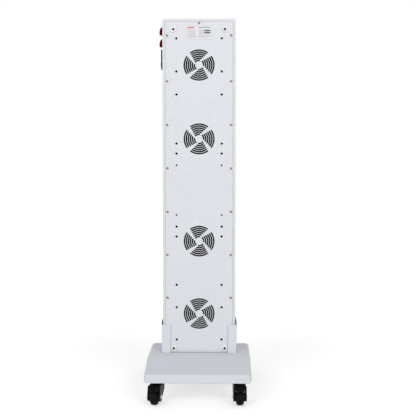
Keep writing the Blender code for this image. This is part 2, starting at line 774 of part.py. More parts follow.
def upright_bolt_places():
    x = upright_out + UPRIGHT_FOOT / 2
    near = side_front + UPRIGHT_BOLT_INSET
    far = cover_face - UPRIGHT_BOLT_INSET
    return [(side * x, y) for side in (1, -1) for y in (near, far)]


def build_uprights(white, black_rubber):
    """Uprights left and right of the panel, and their liners."""
    low = shelf_top + GAP
    for name, side in (("left", 1), ("right", -1)):
        plan = [(upright_in, side_front), (upright_out, side_front), (upright_out, flange_rear),
                (upright_out - UPRIGHT_FLANGE, flange_rear), (upright_out - UPRIGHT_FLANGE, flange_front),
                (upright_in, flange_front)]
        upright = prism_mesh([(side * x, y) for x, y in plan], "Z", low + SHEET / 2, upright_top)
        # the foot's edges stay clear of the corners of the wall that it is joined to
        ends = sorted((side * (upright_in + SHEET / 3), side * (upright_out + UPRIGHT_FOOT)))
        bm = bmesh.new()
        add_box(bm, *ends, side_front + SHEET, cover_face - SHEET, low, low + SHEET)
        upright = join(upright, bm)
        bm = bmesh.new()
        for x, y in upright_bolt_places():
            if x * side > 0:
                add_rod(bm, "Z", x, y, BOLT_HOLE, low - SHEET, low + 3 * SHEET)
        add_object("upright_" + name, cut(upright, bm), white)

        inner = panel_side + GAP
        outer = inner + LINER
        seat = upright_top + GAP
        crest = upright_top + LINER_RISE
        section = [(inner, base_top), (outer, base_top), (outer, seat), (upright_out, seat),
                   (upright_out, crest - LINER_SLOPE), (outer, crest), (inner, crest)]
        liner = prism_mesh([(side * x, z) for x, z in section], "Y", side_front + LINER_INSET, cover_face)
        add_object("liner_" + name, liner, black_rubber)


def offset_outline(outline, inset):
    """Convex outline, counter-clockwise, moved inward by the inset."""
    count = len(outline)
    lines = []
    for i in range(count):
        (a0, b0), (a1, b1) = outline[i], outline[(i + 1) % count]
        length = math.hypot(a1 - a0, b1 - b0)
        na, nb = -(b1 - b0) / length, (a1 - a0) / length
        lines.append((na, nb, na * a0 + nb * b0 + inset))
    points = []
    for i in range(count):
        n0, m0, c0 = lines[i - 1]
        n1, m1, c1 = lines[i]
        det = n0 * m1 - n1 * m0
        points.append(((c0 * m1 - c1 * m0) / det, (n0 * c1 - n1 * c0) / det))
    return points


def base_fall():
    """How far the base's slopes drop for each metre outward."""
    return BASE_DROP / (base_half_depth - BASE_FLAT / 2)


def base_outline():
    """Side view of the base, counter-clockwise in (y, z), the bottom edge first."""
    flat = BASE_FLAT / 2
    lip = base_top - BASE_DROP
    brow = (base_half_depth - LIP_ROUND, lip + LIP_ROUND * base_fall())
    rise = [(base_half_depth, base_bottom), (base_half_depth, lip - LIP_ROUND), brow, (flat, base_top)]
    return [(-y, z) for y, z in rise[:1]] + rise + [(-y, z) for y, z in reversed(rise[1:])]


def base_rings(inset, rounding, steps, floor=None):
    """Sections of the base from one end to the other, its ends rounded over."""
    rings = []
    half = base_half_width - inset
    for side in (-1, 1):
        stack = []
        for i in range(steps + 1):
            angle = math.pi / 2 * i / steps
            x = half - rounding + rounding * math.sin(angle)
            section = offset_outline(base_outline(), inset + rounding * (1 - math.cos(angle)))
            if floor is not None:
                section[:2] = [(y, floor) for y, z in section[:2]]
            stack.append([(side * x, y, z) for y, z in section])
        rings += stack if side > 0 else stack[::-1]
    return rings


def base_height_at(y):
    """Height of the base's outer surface above the floor, a distance y from its middle line."""
    return base_top - base_fall() * max(0.0, abs(y) - BASE_FLAT / 2)


def boss_places():
    x = base_half_width - BASE_WALL - BOSS_INSET
    y = base_half_depth - BASE_WALL - BOSS_INSET
    return [(a, b) for a in (x, -x) for b in (y, -y)]


def shelf_bolt_places():
    x = shelf_half - SHELF_BOLT_INSET
    near = shelf_front - SHELF_FLANGE / 2
    far = shelf_rear + SHELF_FLANGE / 2
    return [(a, y) for a in (x, -x) for y in (near, far)]


def caster_places():
    """Name, place, turn and brake of each caster."""
    x = base_half_width - CASTER_INSET_X
    y = base_half_depth - CASTER_INSET_Y
    return [("rear_left", x, y, REAR_LEFT_TURN, True), ("rear_right", -x, y, REAR_RIGHT_TURN, True),
            ("front_left", x, -y, FRONT_LEFT_TURN, False), ("front_right", -x, -y, FRONT_RIGHT_TURN, False)]


def build_base_cover(white):
    """Shell of the base, open below, with the pocket for the panel and bosses for its bolts."""
    bm = bmesh.new()
    add_loft(bm, base_rings(0.0, BASE_ROUND, 3))
    shell = to_mesh(bm)
    bm = bmesh.new()
    add_loft(bm, base_rings(BASE_WALL, BASE_ROUND - BASE_WALL, 2, floor=base_bottom - BASE_WALL))
    shell = cut(shell, bm)
    bm = bmesh.new()
    for x, y in boss_places():
        add_rod(bm, "Z", x, y, BOSS_RADIUS, plate_top + GAP, base_height_at(y) - BASE_WALL / 2)
    shell = join(shell, bm)
    bm = bmesh.new()
    x = upright_out + POCKET_CLEARANCE
    add_box(bm, -x, x, min(panel_front, side_front) - POCKET_CLEARANCE, flange_rear + POCKET_CLEARANCE,
            base_top - 2 * BASE_WALL, base_top + BASE_WALL)
    for x, y in boss_places():
        add_rod(bm, "Z", x, y, BOLT_HOLE, base_bottom, base_height_at(y) - 2 * BASE_WALL)
    add_object("base_cover", cut(shell, bm), white)


def build_base_plate(zinc):
    x = base_half_width - BASE_WALL - 2 * GAP
    y = base_half_depth - BASE_WALL - 2 * GAP
    plan = [(x, BASE_ROUND - y), (x, y - BASE_ROUND), (x - BASE_ROUND, y), (BASE_ROUND - x, y),
            (-x, y - BASE_ROUND), (-x, BASE_ROUND - y), (BASE_ROUND - x, -y), (x - BASE_ROUND, -y)]
    plate = prism_mesh(plan, "Z", plate_bottom, plate_top)
    low, high = plate_bottom - BASE_PLATE, plate_top + BASE_PLATE
    bm = bmesh.new()
    for name, x, y, turn, brake in caster_places():
        add_rod(bm, "Z", x, y, STEM_RADIUS + 2 * GAP, low, high, 10)
    for x, y in boss_places() + shelf_bolt_places():
        add_rod(bm, "Z", x, y, BOLT_HOLE, low, high)
    add_object("base_plate", cut(plate, bm), zinc)


def build_shelf(steel):
    """Bent shelf on the base plate, under the panel and the feet of the uprights."""
    foot = plate_top + GAP
    t = SHELF_SHEET
    outline = [(shelf_front - SHELF_FLANGE, foot), (shelf_front + t, foot), (shelf_front + t, shelf_top - t),
               (shelf_rear - t, shelf_top - t), (shelf_rear - t, foot), (shelf_rear + SHELF_FLANGE, foot),
               (shelf_rear + SHELF_FLANGE, foot + t), (shelf_rear, foot + t), (shelf_rear, shelf_top),
               (shelf_front, shelf_top), (shelf_front, foot + t), (shelf_front - SHELF_FLANGE, foot + t)]
    shelf = prism_mesh(outline, "X", -shelf_half, shelf_half)
    bm = bmesh.new()
    for x, y in shelf_bolt_places():
        add_rod(bm, "Z", x, y, BOLT_HOLE, foot - t, foot + 2 * t)
    for x, y in upright_bolt_places():
        add_rod(bm, "Z", x, y, BOLT_HOLE, shelf_top - 2 * t, shelf_top + t)
    add_object("panel_shelf", cut(shelf, bm), steel)


def fork_outline():
    """Side view of a fork, the swivel axis at 0 and the trail toward +Y."""
    points = [(-FORK_FRONT, crown_top), (-FORK_FRONT, crown_top - FORK_BROW)]
    steps = 6
    for i in range(steps + 1):
        angle = math.radians(200 + 160 * i / steps)
        points.append((CASTER_TRAIL + FORK_EAR * math.cos(angle), WHEEL_RADIUS + FORK_EAR * math.sin(angle)))
    points.append((CASTER_TRAIL + FORK_HEEL, crown_top - FORK_HEEL_DROP))
    points.append((CASTER_TRAIL + FORK_BACK, crown_top))
    return points


def fork_mesh(brake):
    """Fork with its swivel cup; a braked one has a slot in its crown for the pedal."""
    front = -FORK_FRONT - FORK_WIDTH
    rear = CASTER_TRAIL + FORK_EAR + FORK_WIDTH
    fork = prism_mesh(fork_outline(), "X", -fork_half, fork_half)
    bm = bmesh.new()
    add_box(bm, -fork_inner, fork_inner, front, rear, -WHEEL_RADIUS, crown_under)
    fork = cut(fork, bm)
    if brake:
        bm = bmesh.new()
        add_box(bm, -slot_half, slot_half, CASTER_TRAIL - PEDAL_SLOT, rear,
                crown_under - FORK_SHEET, crown_top + FORK_SHEET)
        fork = cut(fork, bm)
    bm = bmesh.new()
    if brake:
        add_rod(bm, "X", pedal_out, pedal_height, PEDAL_PIN + GAP, -FORK_WIDTH, FORK_WIDTH, 8)
    add_rod(bm, "X", CASTER_TRAIL, WHEEL_RADIUS, AXLE_RADIUS + GAP, -FORK_WIDTH, FORK_WIDTH, 8)
    fork = cut(fork, bm)
    profile = [(CUP_RADIUS, crown_top - FORK_SHEET / 2), (CUP_RADIUS, cup_top - CUP_EDGE),
               (CUP_RADIUS - CUP_EDGE, cup_top)]
    bm = bmesh.new()
    add_turned(bm, "Z", 0, 0, profile, 12)
    fork = join(fork, bm)
    bm = bmesh.new()
    add_rod(bm, "Z", 0, 0, STEM_RADIUS + 2 * GAP, crown_under - FORK_SHEET, cup_top + FORK_SHEET, 10)
    return cut(fork, bm)


def wheel_mesh():
    hub = fork_inner - GAP
    half = [(AXLE_RADIUS + GAP, hub), (HUB_RADIUS, hub), (HUB_RADIUS + HUB_FILLET, WHEEL_HALF)]
    steps = 3
    for i in range(steps + 1):
        angle = math.pi / 2 * i / steps
        half.append((WHEEL_RADIUS - TYRE_SHOULDER * (1 - math.sin(angle)),
                     TREAD_HALF + (WHEEL_HALF - TREAD_HALF) * math.cos(angle)))
    profile = half + [(radius, -x) for radius, x in reversed(half)]
    bm = bmesh.new()
    add_turned(bm, "X", 0, 0, profile, 20, hollow=True)
    return to_mesh(bm)


def axle_mesh():
    """Axle with a domed head on one end and a nut on the other."""
    out = fork_half + GAP
    profile = [(AXLE_HEAD_RADIUS - AXLE_HEAD_EDGE, -out - AXLE_HEAD), (AXLE_HEAD_RADIUS, -out),
               (AXLE_RADIUS, -out), (AXLE_RADIUS, out), (AXLE_HEAD_RADIUS, out),
               (AXLE_HEAD_RADIUS, out + AXLE_NUT)]
    bm = bmesh.new()
    add_turned(bm, "X", 0, 0, profile, 8)
    return to_mesh(bm)


def pedal_mesh():
    """Brake pedal around its pin: a tread that falls away from a hump over the pin, and the pin."""
    half = slot_half - GAP
    under = PEDAL_THICK / 2
    tip = -under - PEDAL_DROP
    outline = [(-PEDAL_TAIL, -under), (PEDAL_HUMP_END, -under), (PEDAL_REACH, tip),
               (PEDAL_REACH, tip + PEDAL_THICK), (PEDAL_HUMP_END, PEDAL_HUMP),
               (-PEDAL_TAIL / 2, PEDAL_HUMP), (-PEDAL_TAIL, under)]
    pedal = prism_mesh(outline, "X", -half, half)
    bm = bmesh.new()
    lean = (half - PEDAL_TIP_HALF) / (PEDAL_REACH - PEDAL_TAPER)
    for side in (1, -1):
        corner = [(half + lean * GAP, PEDAL_TAPER - GAP), (half + lean * GAP, PEDAL_REACH + GAP),
                  (PEDAL_TIP_HALF - lean * GAP, PEDAL_REACH + GAP)]
        add_prism(bm, [(side * x, y) for x, y in corner], "Z", tip - GAP, PEDAL_HUMP + GAP)
    pedal = cut(pedal, bm)
    bm = bmesh.new()
    add_rod(bm, "X", 0, 0, PEDAL_PIN, -fork_half, fork_half, 8)
    return join(pedal, bm)


def stem_mesh():
    """Threaded stem with a collar under the base plate and a rivet head in the fork."""
    rivet = crown_under - GAP
    profile = [(RIVET_RADIUS, rivet - RIVET_HEAD), (RIVET_RADIUS, rivet), (STEM_RADIUS, rivet),
               (STEM_RADIUS, collar_bottom), (COLLAR_RADIUS, collar_bottom), (COLLAR_RADIUS, collar_top),
               (STEM_RADIUS, collar_top), (STEM_RADIUS, plate_top + STEM_END)]
    bm = bmesh.new()
    add_turned(bm, "Z", 0, 0, profile, 10)
    return to_mesh(bm)


def build_casters(black_steel, black_tyre, zinc, pedal_black):
    forks = {brake: fork_mesh(brake) for brake in (False, True)}
    wheel = wheel_mesh()
    axle = axle_mesh()
    pedal = pedal_mesh()
    stem = stem_mesh()
    for name, x, y, turn, brake in caster_places():
        swing = math.radians(turn)
        axle_spot = (x + CASTER_TRAIL * math.sin(swing), y + CASTER_TRAIL * math.cos(swing), WHEEL_RADIUS)
        add_object("caster_stem_" + name, stem, zinc, (x, y, 0), smooth=True)
        add_object("caster_fork_" + name, forks[brake], black_steel, (x, y, 0), -turn)
        add_object("caster_wheel_" + name, wheel, black_tyre, axle_spot, -turn, smooth=True)
        add_object("caster_axle_" + name, axle, zinc, axle_spot, -turn)
        if brake:
            pin_spot = (x + pedal_out * math.sin(swing), y + pedal_out * math.cos(swing), pedal_height)
            add_object("brake_pedal_" + name, pedal, pedal_black, pin_spot, -turn)


def main():
    for item in list(bpy.data.objects):
        bpy.data.objects.remove(item)
    white = make_material("white_paint", (0.72, 0.74, 0.78), 0.45)
    white_cover = make_material("white_paint_cover", (0.74, 0.76, 0.80), 0.45)
    white_upright = make_material("white_paint_upright", (0.70, 0.73, 0.78), 0.45)
    white_base = make_material("white_paint_base", (0.68, 0.71, 0.75), 0.42)
    steel = make_material("plain_steel", (0.42, 0.40, 0.38), 0.35, 1.0)
    zinc = make_material("zinc_steel", (0.55, 0.55, 0.56), 0.32, 1.0)
    aluminium = make_material("aluminium_plate", (0.72, 0.73, 0.74), 0.38, 1.0)
    white_rubber = make_material("white_rubber", (0.78, 0.79, 0.80), 0.60)
    black_rubber = make_material("black_rubber", (0.012, 0.012, 0.013), 0.75)
    label_stock = make_material("label_stock", (0.80, 0.78, 0.79), 0.50)
    black = make_material("black_plastic", (0.015, 0.015, 0.017), 0.45)
    red = make_material("red_rocker", (0.12, 0.004, 0.006), 0.25)
    board_white = make_material("lamp_board_white", (0.78, 0.79, 0.78), 0.40)
    lens_clear = make_material("lens_clear", (0.70, 0.66, 0.66), 0.08)
    driver_grey = make_material("driver_case", (0.30, 0.31, 0.33), 0.40, 0.9)
    cable_black = make_material("cable_black", (0.02, 0.02, 0.02), 0.55)
    cable_red = make_material("cable_red", (0.25, 0.02, 0.02), 0.50)
    caster_black = make_material("caster_black", (0.012, 0.012, 0.014), 0.38)
    tyre_black = make_material("tyre_black", (0.010, 0.010, 0.011), 0.62)
    build_housing(white)
    build_cover(white_cover)
    build_strips(steel)
    build_bumpers(white_rubber)
    build_label(label_stock)
    build_fans(black)
    build_lamps(black_rubber, aluminium, board_white, lens_clear)
    build_drivers(driver_grey, cable_black, cable_red)
    build_switches(black, red)
    build_inlet(black)
    build_uprights(white_upright, black_rubber)
    build_base_cover(white_base)
    build_base_plate(zinc)
    build_shelf(steel)
    build_casters(caster_black, tyre_black, zinc, black)


main()
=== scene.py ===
"""Looks of a red light therapy panel on a wheeled base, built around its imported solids.

Metres, +Z up. The lamps face -Y, the rear cover faces +Y and the switches are on +X.
"""
import json
import math

import bmesh
import bpy
from mathutils import Matrix, Vector


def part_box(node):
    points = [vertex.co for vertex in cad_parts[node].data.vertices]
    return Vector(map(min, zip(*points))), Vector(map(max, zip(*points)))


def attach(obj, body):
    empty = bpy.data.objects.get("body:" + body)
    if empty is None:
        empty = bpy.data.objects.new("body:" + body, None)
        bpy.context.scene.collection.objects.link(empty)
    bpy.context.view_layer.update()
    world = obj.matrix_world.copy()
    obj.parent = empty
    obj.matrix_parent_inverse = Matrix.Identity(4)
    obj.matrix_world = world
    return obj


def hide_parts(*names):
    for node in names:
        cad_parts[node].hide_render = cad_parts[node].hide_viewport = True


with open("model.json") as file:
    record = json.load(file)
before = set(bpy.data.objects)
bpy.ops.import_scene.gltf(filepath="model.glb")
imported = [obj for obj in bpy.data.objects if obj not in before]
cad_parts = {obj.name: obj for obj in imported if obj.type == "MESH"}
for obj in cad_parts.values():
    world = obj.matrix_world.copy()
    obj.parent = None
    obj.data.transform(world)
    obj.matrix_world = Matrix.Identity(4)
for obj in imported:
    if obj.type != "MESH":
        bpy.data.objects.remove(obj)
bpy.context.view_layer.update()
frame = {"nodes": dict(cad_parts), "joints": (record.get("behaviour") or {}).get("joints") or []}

# Directions, and the numbers of the fans, drivers and bumpers
UP = (0.0, 0.0, 1.0)
DOWN = (0.0, 0.0, -1.0)
REARWARD = (0.0, 1.0, 0.0)
FORWARD = (0.0, -1.0, 0.0)
NUMBERS = range(1, 5)

# Clearances and edges
GAP = 0.0003
MERGE = 0.000002
NEAR = 0.00005
NUDGE = 0.01
FLAT_ANGLE = 0.5
CREASE_ANGLE = 30.0
SMOOTH_ANGLE = 38.0
CUT_EDGE = 0.00025
SHEARED_EDGE = 0.0009
MOULDED_EDGE = 0.0004

# Case, cover and what is fixed to the cover
SHEET = 0.0015
CASE_BEND = 0.0020
COVER_CORNER = 0.0015
EDGE_SCREW_INSET = 0.0147
EDGE_SCREW_PITCH = 0.136
EDGE_SCREW_FROM_END = 0.052
END_SCREW_FROM_END = 0.0135
STRIP_HOLE_INSET = 0.0437
STRIP_HOLES_FROM_END = (0.0609, 0.1633, 0.2347, 0.3876, 0.4188, 0.4552)
STRIP_HOLE_RADIUS = 0.0037
LAST_HOLE_RADIUS = 0.0028
SCREW_HOLE = 0.0018
SCREW_HEAD_RADIUS = 0.0039
SCREW_HEAD_HEIGHT = 0.0018
SCREW_DOME = 0.72
SCREW_SIDES = 18
RECESS_LENGTH = 0.0046
RECESS_WIDTH = 0.0012
COVER_SEED = 3
BUMPER_SEED = 8
BASE_SEED = 5
GRILLE_RINGS = 6
GRILLE_INNER = 0.0146
GRILLE_PITCH = 0.0063
GRILLE_SLOT = 0.0048
SPOKE_NEAR_ANGLE = 43.3
SPOKE_NEAR_OFFSET = 0.00835
SPOKE_FAR_ANGLE = 28.3
SPOKE_FAR_OFFSET = 0.0067
SLOT_STEPS = 15
HOLE_SIDES = 20
ROUND_SIDES = 32
BUMPER_EDGE = 0.0016
BUMPER_WELL = 0.0046
BUMPER_WELL_DEPTH = 0.0020
BUMPER_SCREW_RADIUS = 0.0041
BUMPER_SCREW_HEIGHT = 0.0014
LABEL_CORNER = 0.0020
# Grey strip under the cover's edge: a painted shadow line around the cover
SHADE_LINE_WIDTH = 0.0005
SHADE_LINE_HEIGHT = 0.0008

# Lamps
LENS_COLUMNS = 5
LENS_ROWS = 15
LENS_PITCH_X = 0.0375
LENS_PITCH_Z = 0.0340
LENS_BASE = 0.0080
LENS_FACE = 0.0120
LENS_CROWN = 0.0007
LENS_WELL = 0.0030
LENS_SIDES = 16
LENS_SEAT = 0.9
LENS_SHEET = 0.0012
LENS_RINGS = 0.0022

# Rockers and inlet
SOCKET_FROM_TOP = 0.02155
SOCKET_DEPTH = 0.0180
PIN_SPREAD_Y = 0.0020
PIN_SPREAD_Z = 0.0070
PIN_WIDTH = 0.0040
PIN_HEIGHT = 0.0020
ROCKER_HALF = 0.0118
ROCKER_PROUD = 0.0060
ROCKER_CROWN = 0.0020
ROCKER_TILT = 10.0
ROCKER_SKIRT = 0.0010
ROCKER_SKIRT_INSET = 0.0004
ROCKER_TAIL = 0.0055
ROCKER_TAIL_HALF = 0.0050
ROCKER_EDGE = 0.0007
ROCKER_STEPS = 14
MARK_HEIGHT = 0.0062
MARK_SIZE = 0.0026
MARK_STROKE = 0.0007
MARK_PROUD = 0.0002
MARK_SIDES = 28

# Uprights and base
UPRIGHT_BEND = 0.0024
BASE_FLAT = 0.204
BASE_DROP = 0.027
BASE_ROUND = 0.009
LIP_ROUND = 0.0045
CREASE_ROUND = 0.004
SKIRT_ROUND = 0.0025
LEAST_ROUND = 0.0003
BASE_WALL = 0.003
BASE_EDGE = 0.0006
BASE_STEPS = 10
HOLLOW_STEPS = 6
BASE_SCREW_RADIUS = 0.00507
BASE_SCREW_HEIGHT = 0.00144
BASE_RECESS = 0.00552
BOSS_RADIUS = 0.006
BOSS_INSET = 0.012
BOLT_HOLE = 0.0028
SHELF_SHEET = 0.0025
SHELF_FLANGE = 0.016
SHELF_BOLT_INSET = 0.055
UPRIGHT_FOOT = 0.020
UPRIGHT_BOLT_INSET = 0.012
POCKET_CLEARANCE = 0.0012
# Black strip along the base's pocket behind the panel: painted shade for the gap where the panel enters the
# base
SHADE_STRIP_WIDTH = 0.0015
SHADE_STRIP_HEIGHT = 0.0040
SHADE_STRIP_PROUD = 0.0004
HEX_SIZES = ("Hex Radius", "Hex Height", "Washer Radius", "Washer Thickness", "Stud Radius", "Stud Length")
BOLT_HEX = 0.0046
BOLT_HEAD = 0.0032
BOLT_WASHER = 0.0054
HEX_SIDES = 6
WASHER = 0.0010
WASHER_SIDES = 20
WASHER_TAPER = 0.25
HEX_TAPER = 0.42
STUD_SIDES = 12
STUD_TAPER = 0.45
STUD_SHARE = 0.9
STEM_HEX = 0.0095
STEM_NUT = 0.0060
STEM_WASHER = 0.0115
FAN_HEX = 0.0032
FAN_NUT = 0.0024
FAN_WASHER = 0.0040
FAN_STUD = 0.00384
FAN_HOLE_INSET = 0.00475

# Casters
CASTER_NAMES = ("rear_left", "rear_right", "front_left", "front_right")
CASTER_TRAIL = 0.025
WHEEL_RADIUS = 0.025
WHEEL_HALF = 0.0122
WHEEL_CLEARANCE = 0.0072
TREAD_HALF = 0.0038
TYRE_SHOULDER = 0.0105
HUB_RADIUS = 0.0134
HUB_EDGE = 0.0012
RIM_GROOVE = 0.0009
TYRE_STEPS = 12
WHEEL_SIDES = 48
FORK_WIDTH = 0.0396
FORK_SHEET = 0.0028
FORK_BEND = 0.0052
FORK_FRONT = 0.018
FORK_BROW = 0.018
FORK_EAR = 0.0145
EAR_START = 200
EAR_STEPS = 22
FORK_HEEL = 0.009
FORK_HEEL_DROP = 0.008
FORK_BACK = 0.006
FORK_CORNER = 0.0030
FORK_EDGE = 0.0005
CUP_RADIUS = 0.0192
CUP_HEIGHT = 0.0104
CUP_EDGE = 0.0024
CUP_GROOVE = 0.0010
STEM_RADIUS = 0.0050
STEM_END = 0.0090
STEM_SIDES = 28
COLLAR_RADIUS = 0.0130
COLLAR = 0.0030
COLLAR_EDGE = 0.0005
RIVET_RADIUS = 0.0075
RIVET_HEAD = 0.0025
RIVET_TOP = 0.00525
AXLE_RADIUS = 0.0040
AXLE_HEAD_RADIUS = 0.0065
AXLE_HEAD = 0.0022
AXLE_NUT = 0.0050
AXLE_END = 0.0009
DOME_STEPS = 6
AXLE_SIDES = 24
PEDAL_AHEAD = 0.001
PEDAL_RISE = 0.005
PEDAL_PIN = 0.0019
PEDAL_SLOT = 0.008
PEDAL_LEDGE = 0.0015
PEDAL_REACH = 0.0295
PEDAL_TIP_HALF = 0.011
PEDAL_THICK = 0.003
PEDAL_DROP = 0.0065
PEDAL_HUMP = 0.0055
PEDAL_HUMP_END = 0.0045
CHEEK_IN = 0.0140
CHEEK_OUT = 0.0166
CHEEK_OUTLINE = ((-0.004, -0.0012), (-0.004, -0.0125), (0.006, -0.0155), (0.016, -0.0120), (0.016, -0.0035),
                 (0.004, 0.0004))
CHEEK_CORNER = 0.0012
RIB_COUNT = 5
RIB_PITCH = 0.0027
RIB_WIDTH = 0.0012
RIB_HEIGHT = 0.0008
RIB_MARGIN = 0.0022
RIB_TAPER = 0.75
RIB_SUNK = 0.00008

# Stage
FLOOR_HALF = 30.0
FLOOR_COLOUR = (0.86, 0.86, 0.86)
GLOW_NEAR = 0.45
GLOW_FAR = 0.66
GLOW_FROM = 0.6
GLOW_TO = 2.2
WORLD_LEVEL = 0.45
SOFTBOX_SIZE = 2.8
SOFTBOX_AIM = (0.0, 0.0, 0.55)
SOFTBOXES = (("rear_left", (2.7, 6.1, 3.3), 133.0), ("rear_right", (-2.7, 6.1, 3.3), 131.0),
             ("front_left", (2.2, -4.6, 1.1), 17.0), ("front_right", (-2.2, -4.6, 1.1), 17.0))
CAMERA_PLACE = (-0.0763, 3.1266, 0.7537)
CAMERA_AIM = (0.0157, -0.9983, -0.0553)
CAMERA_LENS = 85.0

# Places that the frame's boxes give
case_low, case_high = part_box("main_housing")
cover_low, cover_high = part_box("rear_cover")
base_low, base_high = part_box("base_cover")
plate_low, plate_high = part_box("base_plate")
shelf_low, shelf_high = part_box("panel_shelf")
upright_low, upright_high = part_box("upright_left")
panel_mid = (case_low.z + case_high.z) / 2
half_height = (case_high.z - case_low.z) / 2
panel_side = case_high.x
cover_face = cover_high.y
upright_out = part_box("liner_left")[1].x
joints = {joint["name"]: joint for joint in frame["joints"]}

# Caster heights
crown_under = 2 * WHEEL_RADIUS + WHEEL_CLEARANCE
crown_top = crown_under + FORK_SHEET
cup_top = crown_top + CUP_HEIGHT
collar_bottom = cup_top + GAP
collar_top = collar_bottom + COLLAR
fork_half = FORK_WIDTH / 2
fork_inner = fork_half - FORK_SHEET
pedal_out = CASTER_TRAIL + PEDAL_AHEAD
pedal_height = 2 * WHEEL_RADIUS + PEDAL_RISE
slot_half = fork_inner - PEDAL_LEDGE


class Wire:
    """One output of a node. Arithmetic on it adds Math nodes to the same graph."""

    def __init__(self, graph, socket):
        self.graph = graph
        self.socket = socket

    def other(self, name):
        """Another output of the same node."""
        return Wire(self.graph, self.socket.node.outputs[name])

    def math(self, operation, *values):
        return self.graph.math(operation, self, *values)

    def __add__(self, value):
        return self.math("ADD", value)

    def __radd__(self, value):
        return self.graph.math("ADD", value, self)

    def __sub__(self, value):
        return self.math("SUBTRACT", value)

    def __rsub__(self, value):
        return self.graph.math("SUBTRACT", value, self)

    def __mul__(self, value):
        return self.math("MULTIPLY", value)

    def __rmul__(self, value):
        return self.graph.math("MULTIPLY", value, self)

    def __truediv__(self, value):
        return self.math("DIVIDE", value)

    def __rtruediv__(self, value):
        return self.graph.math("DIVIDE", value, self)

    def __pow__(self, value):
        return self.math("POWER", value)

    def __gt__(self, value):
        return self.math("GREATER_THAN", value)

    def __lt__(self, value):
        return self.math("LESS_THAN", value)


class Graph:
    """A node tree while it is being built."""

    def __init__(self, tree):
        self.tree = tree

    def add(self, kind, settings=None, values=None, output=0):
        """New node: its settings first, then the values or links of its sockets."""
        node = self.tree.nodes.new(kind)
        for name, setting in (settings or {}).items():
            setattr(node, name, setting)
        for key, value in (values or {}).items():
            for item in value if isinstance(value, list) else [value]:
                if isinstance(item, Wire):
                    self.tree.links.new(item.socket, node.inputs[key])
                else:
                    node.inputs[key].default_value = item
        return Wire(self, node.outputs[output]) if node.outputs else None

    def math(self, operation, *values):
        return self.add("ShaderNodeMath", {"operation": operation}, dict(enumerate(values)))

    def split(self, vector):
        """The three parts of a vector."""
        x = self.add("ShaderNodeSeparateXYZ", {}, {"Vector": vector})
        return x, x.other("Y"), x.other("Z")

    def vector(self, x, y, z):
        return self.add("ShaderNodeCombineXYZ", {}, {"X": x, "Y": y, "Z": z})


def blank_graph(owner):
    """Empty node tree of a material or a world."""
    owner.use_nodes = True
    owner.node_tree.nodes.clear()
    return Graph(owner.node_tree)


class Finish(Graph):
    """A material. What is the same all over is set on its shader, and the rest is linked later."""

    def __init__(self, name, constants):
        self.material = bpy.data.materials.new(name)
        self.material.use_nodes = True
        super().__init__(self.material.node_tree)
        self.shader = self.tree.nodes["Principled BSDF"]
        for label, value in constants.items():
            self.shader.inputs[label].default_value = value
        self.point = self.add("ShaderNodeTexCoord", output="Object")

    def noise(self, scale, detail=2.0, stretch=None):
        """Cloudy value between 0 and 1; the scale is in features for each metre."""
        spot = self.point
        if stretch:
            spot = self.add("ShaderNodeMapping", {}, {"Vector": spot, "Scale": stretch})
        return self.add("ShaderNodeTexNoise", {}, {"Vector": spot, "Scale": scale, "Detail": detail})

    def cells(self, scale):
        """Random value of each grain, for cast or crystalline skins."""
        grain = self.add("ShaderNodeTexVoronoi", {}, {"Vector": self.point, "Scale": scale})
        return self.split(grain.other("Color"))[0]

    def steps(self, value, low, high):
        """0 below the low value, 1 above the high one, smooth in between."""
        return self.add("ShaderNodeMapRange", {"interpolation_type": "SMOOTHSTEP"},
                        {"Value": value, "From Min": low, "From Max": high})

    def mix(self, share, first, second):
        """Colour between two others, which are colours or wires."""
        ends = [end if isinstance(end, Wire) else (*end, 1.0) for end in (first, second)]
        # the node's colours are its sockets 6 and 7, and the mixed colour is its output 2
        return self.add("ShaderNodeMix", {"data_type": "RGBA"}, {0: share, 6: ends[0], 7: ends[1]}, 2)

    def feed(self, label, wire):
        self.tree.links.new(wire.socket, self.shader.inputs[label])

    def bump(self, height, depth):
        skin = self.add("ShaderNodeBump", {}, {"Height": height, "Distance": depth}, "Normal")
        self.feed("Normal", skin)


def lighter(colour, factor):
    return tuple(min(1.0, part * factor) for part in colour)


def powder_coat(name, colour, roughness=0.48, specular=0.30):
    """Satin paint with an orange-peel skin and a faint cloudiness."""
    finish = Finish(name, {"Specular IOR Level": specular})
    cloud = finish.noise(6.0, 3.0)
    peel = finish.noise(850.0, 2.0)
    finish.feed("Base Color", finish.mix(cloud, lighter(colour, 0.98), lighter(colour, 1.02)))
    finish.feed("Roughness", peel * 0.10 + cloud * 0.06 + (roughness - 0.08))
    finish.bump(peel, 0.00006)
    return finish


def metal(name, colour, roughness, grain_scale, stretch=None):
    """Bare or plated metal with a grain in its gloss."""
    finish = Finish(name, {"Metallic": 1.0})
    grain = finish.noise(grain_scale, 3.0, stretch)
    patch = finish.cells(grain_scale / 5)
    finish.feed("Base Color", finish.mix(patch, lighter(colour, 0.90), lighter(colour, 1.08)))
    finish.feed("Roughness", grain * 0.18 + patch * 0.06 + (roughness - 0.12))
    finish.bump(grain, 0.00003)
    return finish


def plastic(name, colour, roughness, skin_scale, skin_depth, specular=0.45, coat=0.0):
    """Moulded plastic or rubber with a fine spark-eroded skin."""
    finish = Finish(name, {"Specular IOR Level": specular, "Coat Weight": coat, "Coat Roughness": 0.12})
    skin = finish.noise(skin_scale, 2.0)
    cloud = finish.noise(40.0, 2.0)
    finish.feed("Base Color", finish.mix(cloud, lighter(colour, 0.88), lighter(colour, 1.12)))
    finish.feed("Roughness", skin * 0.14 + (roughness - 0.07))
    finish.bump(skin, skin_depth)
    return finish


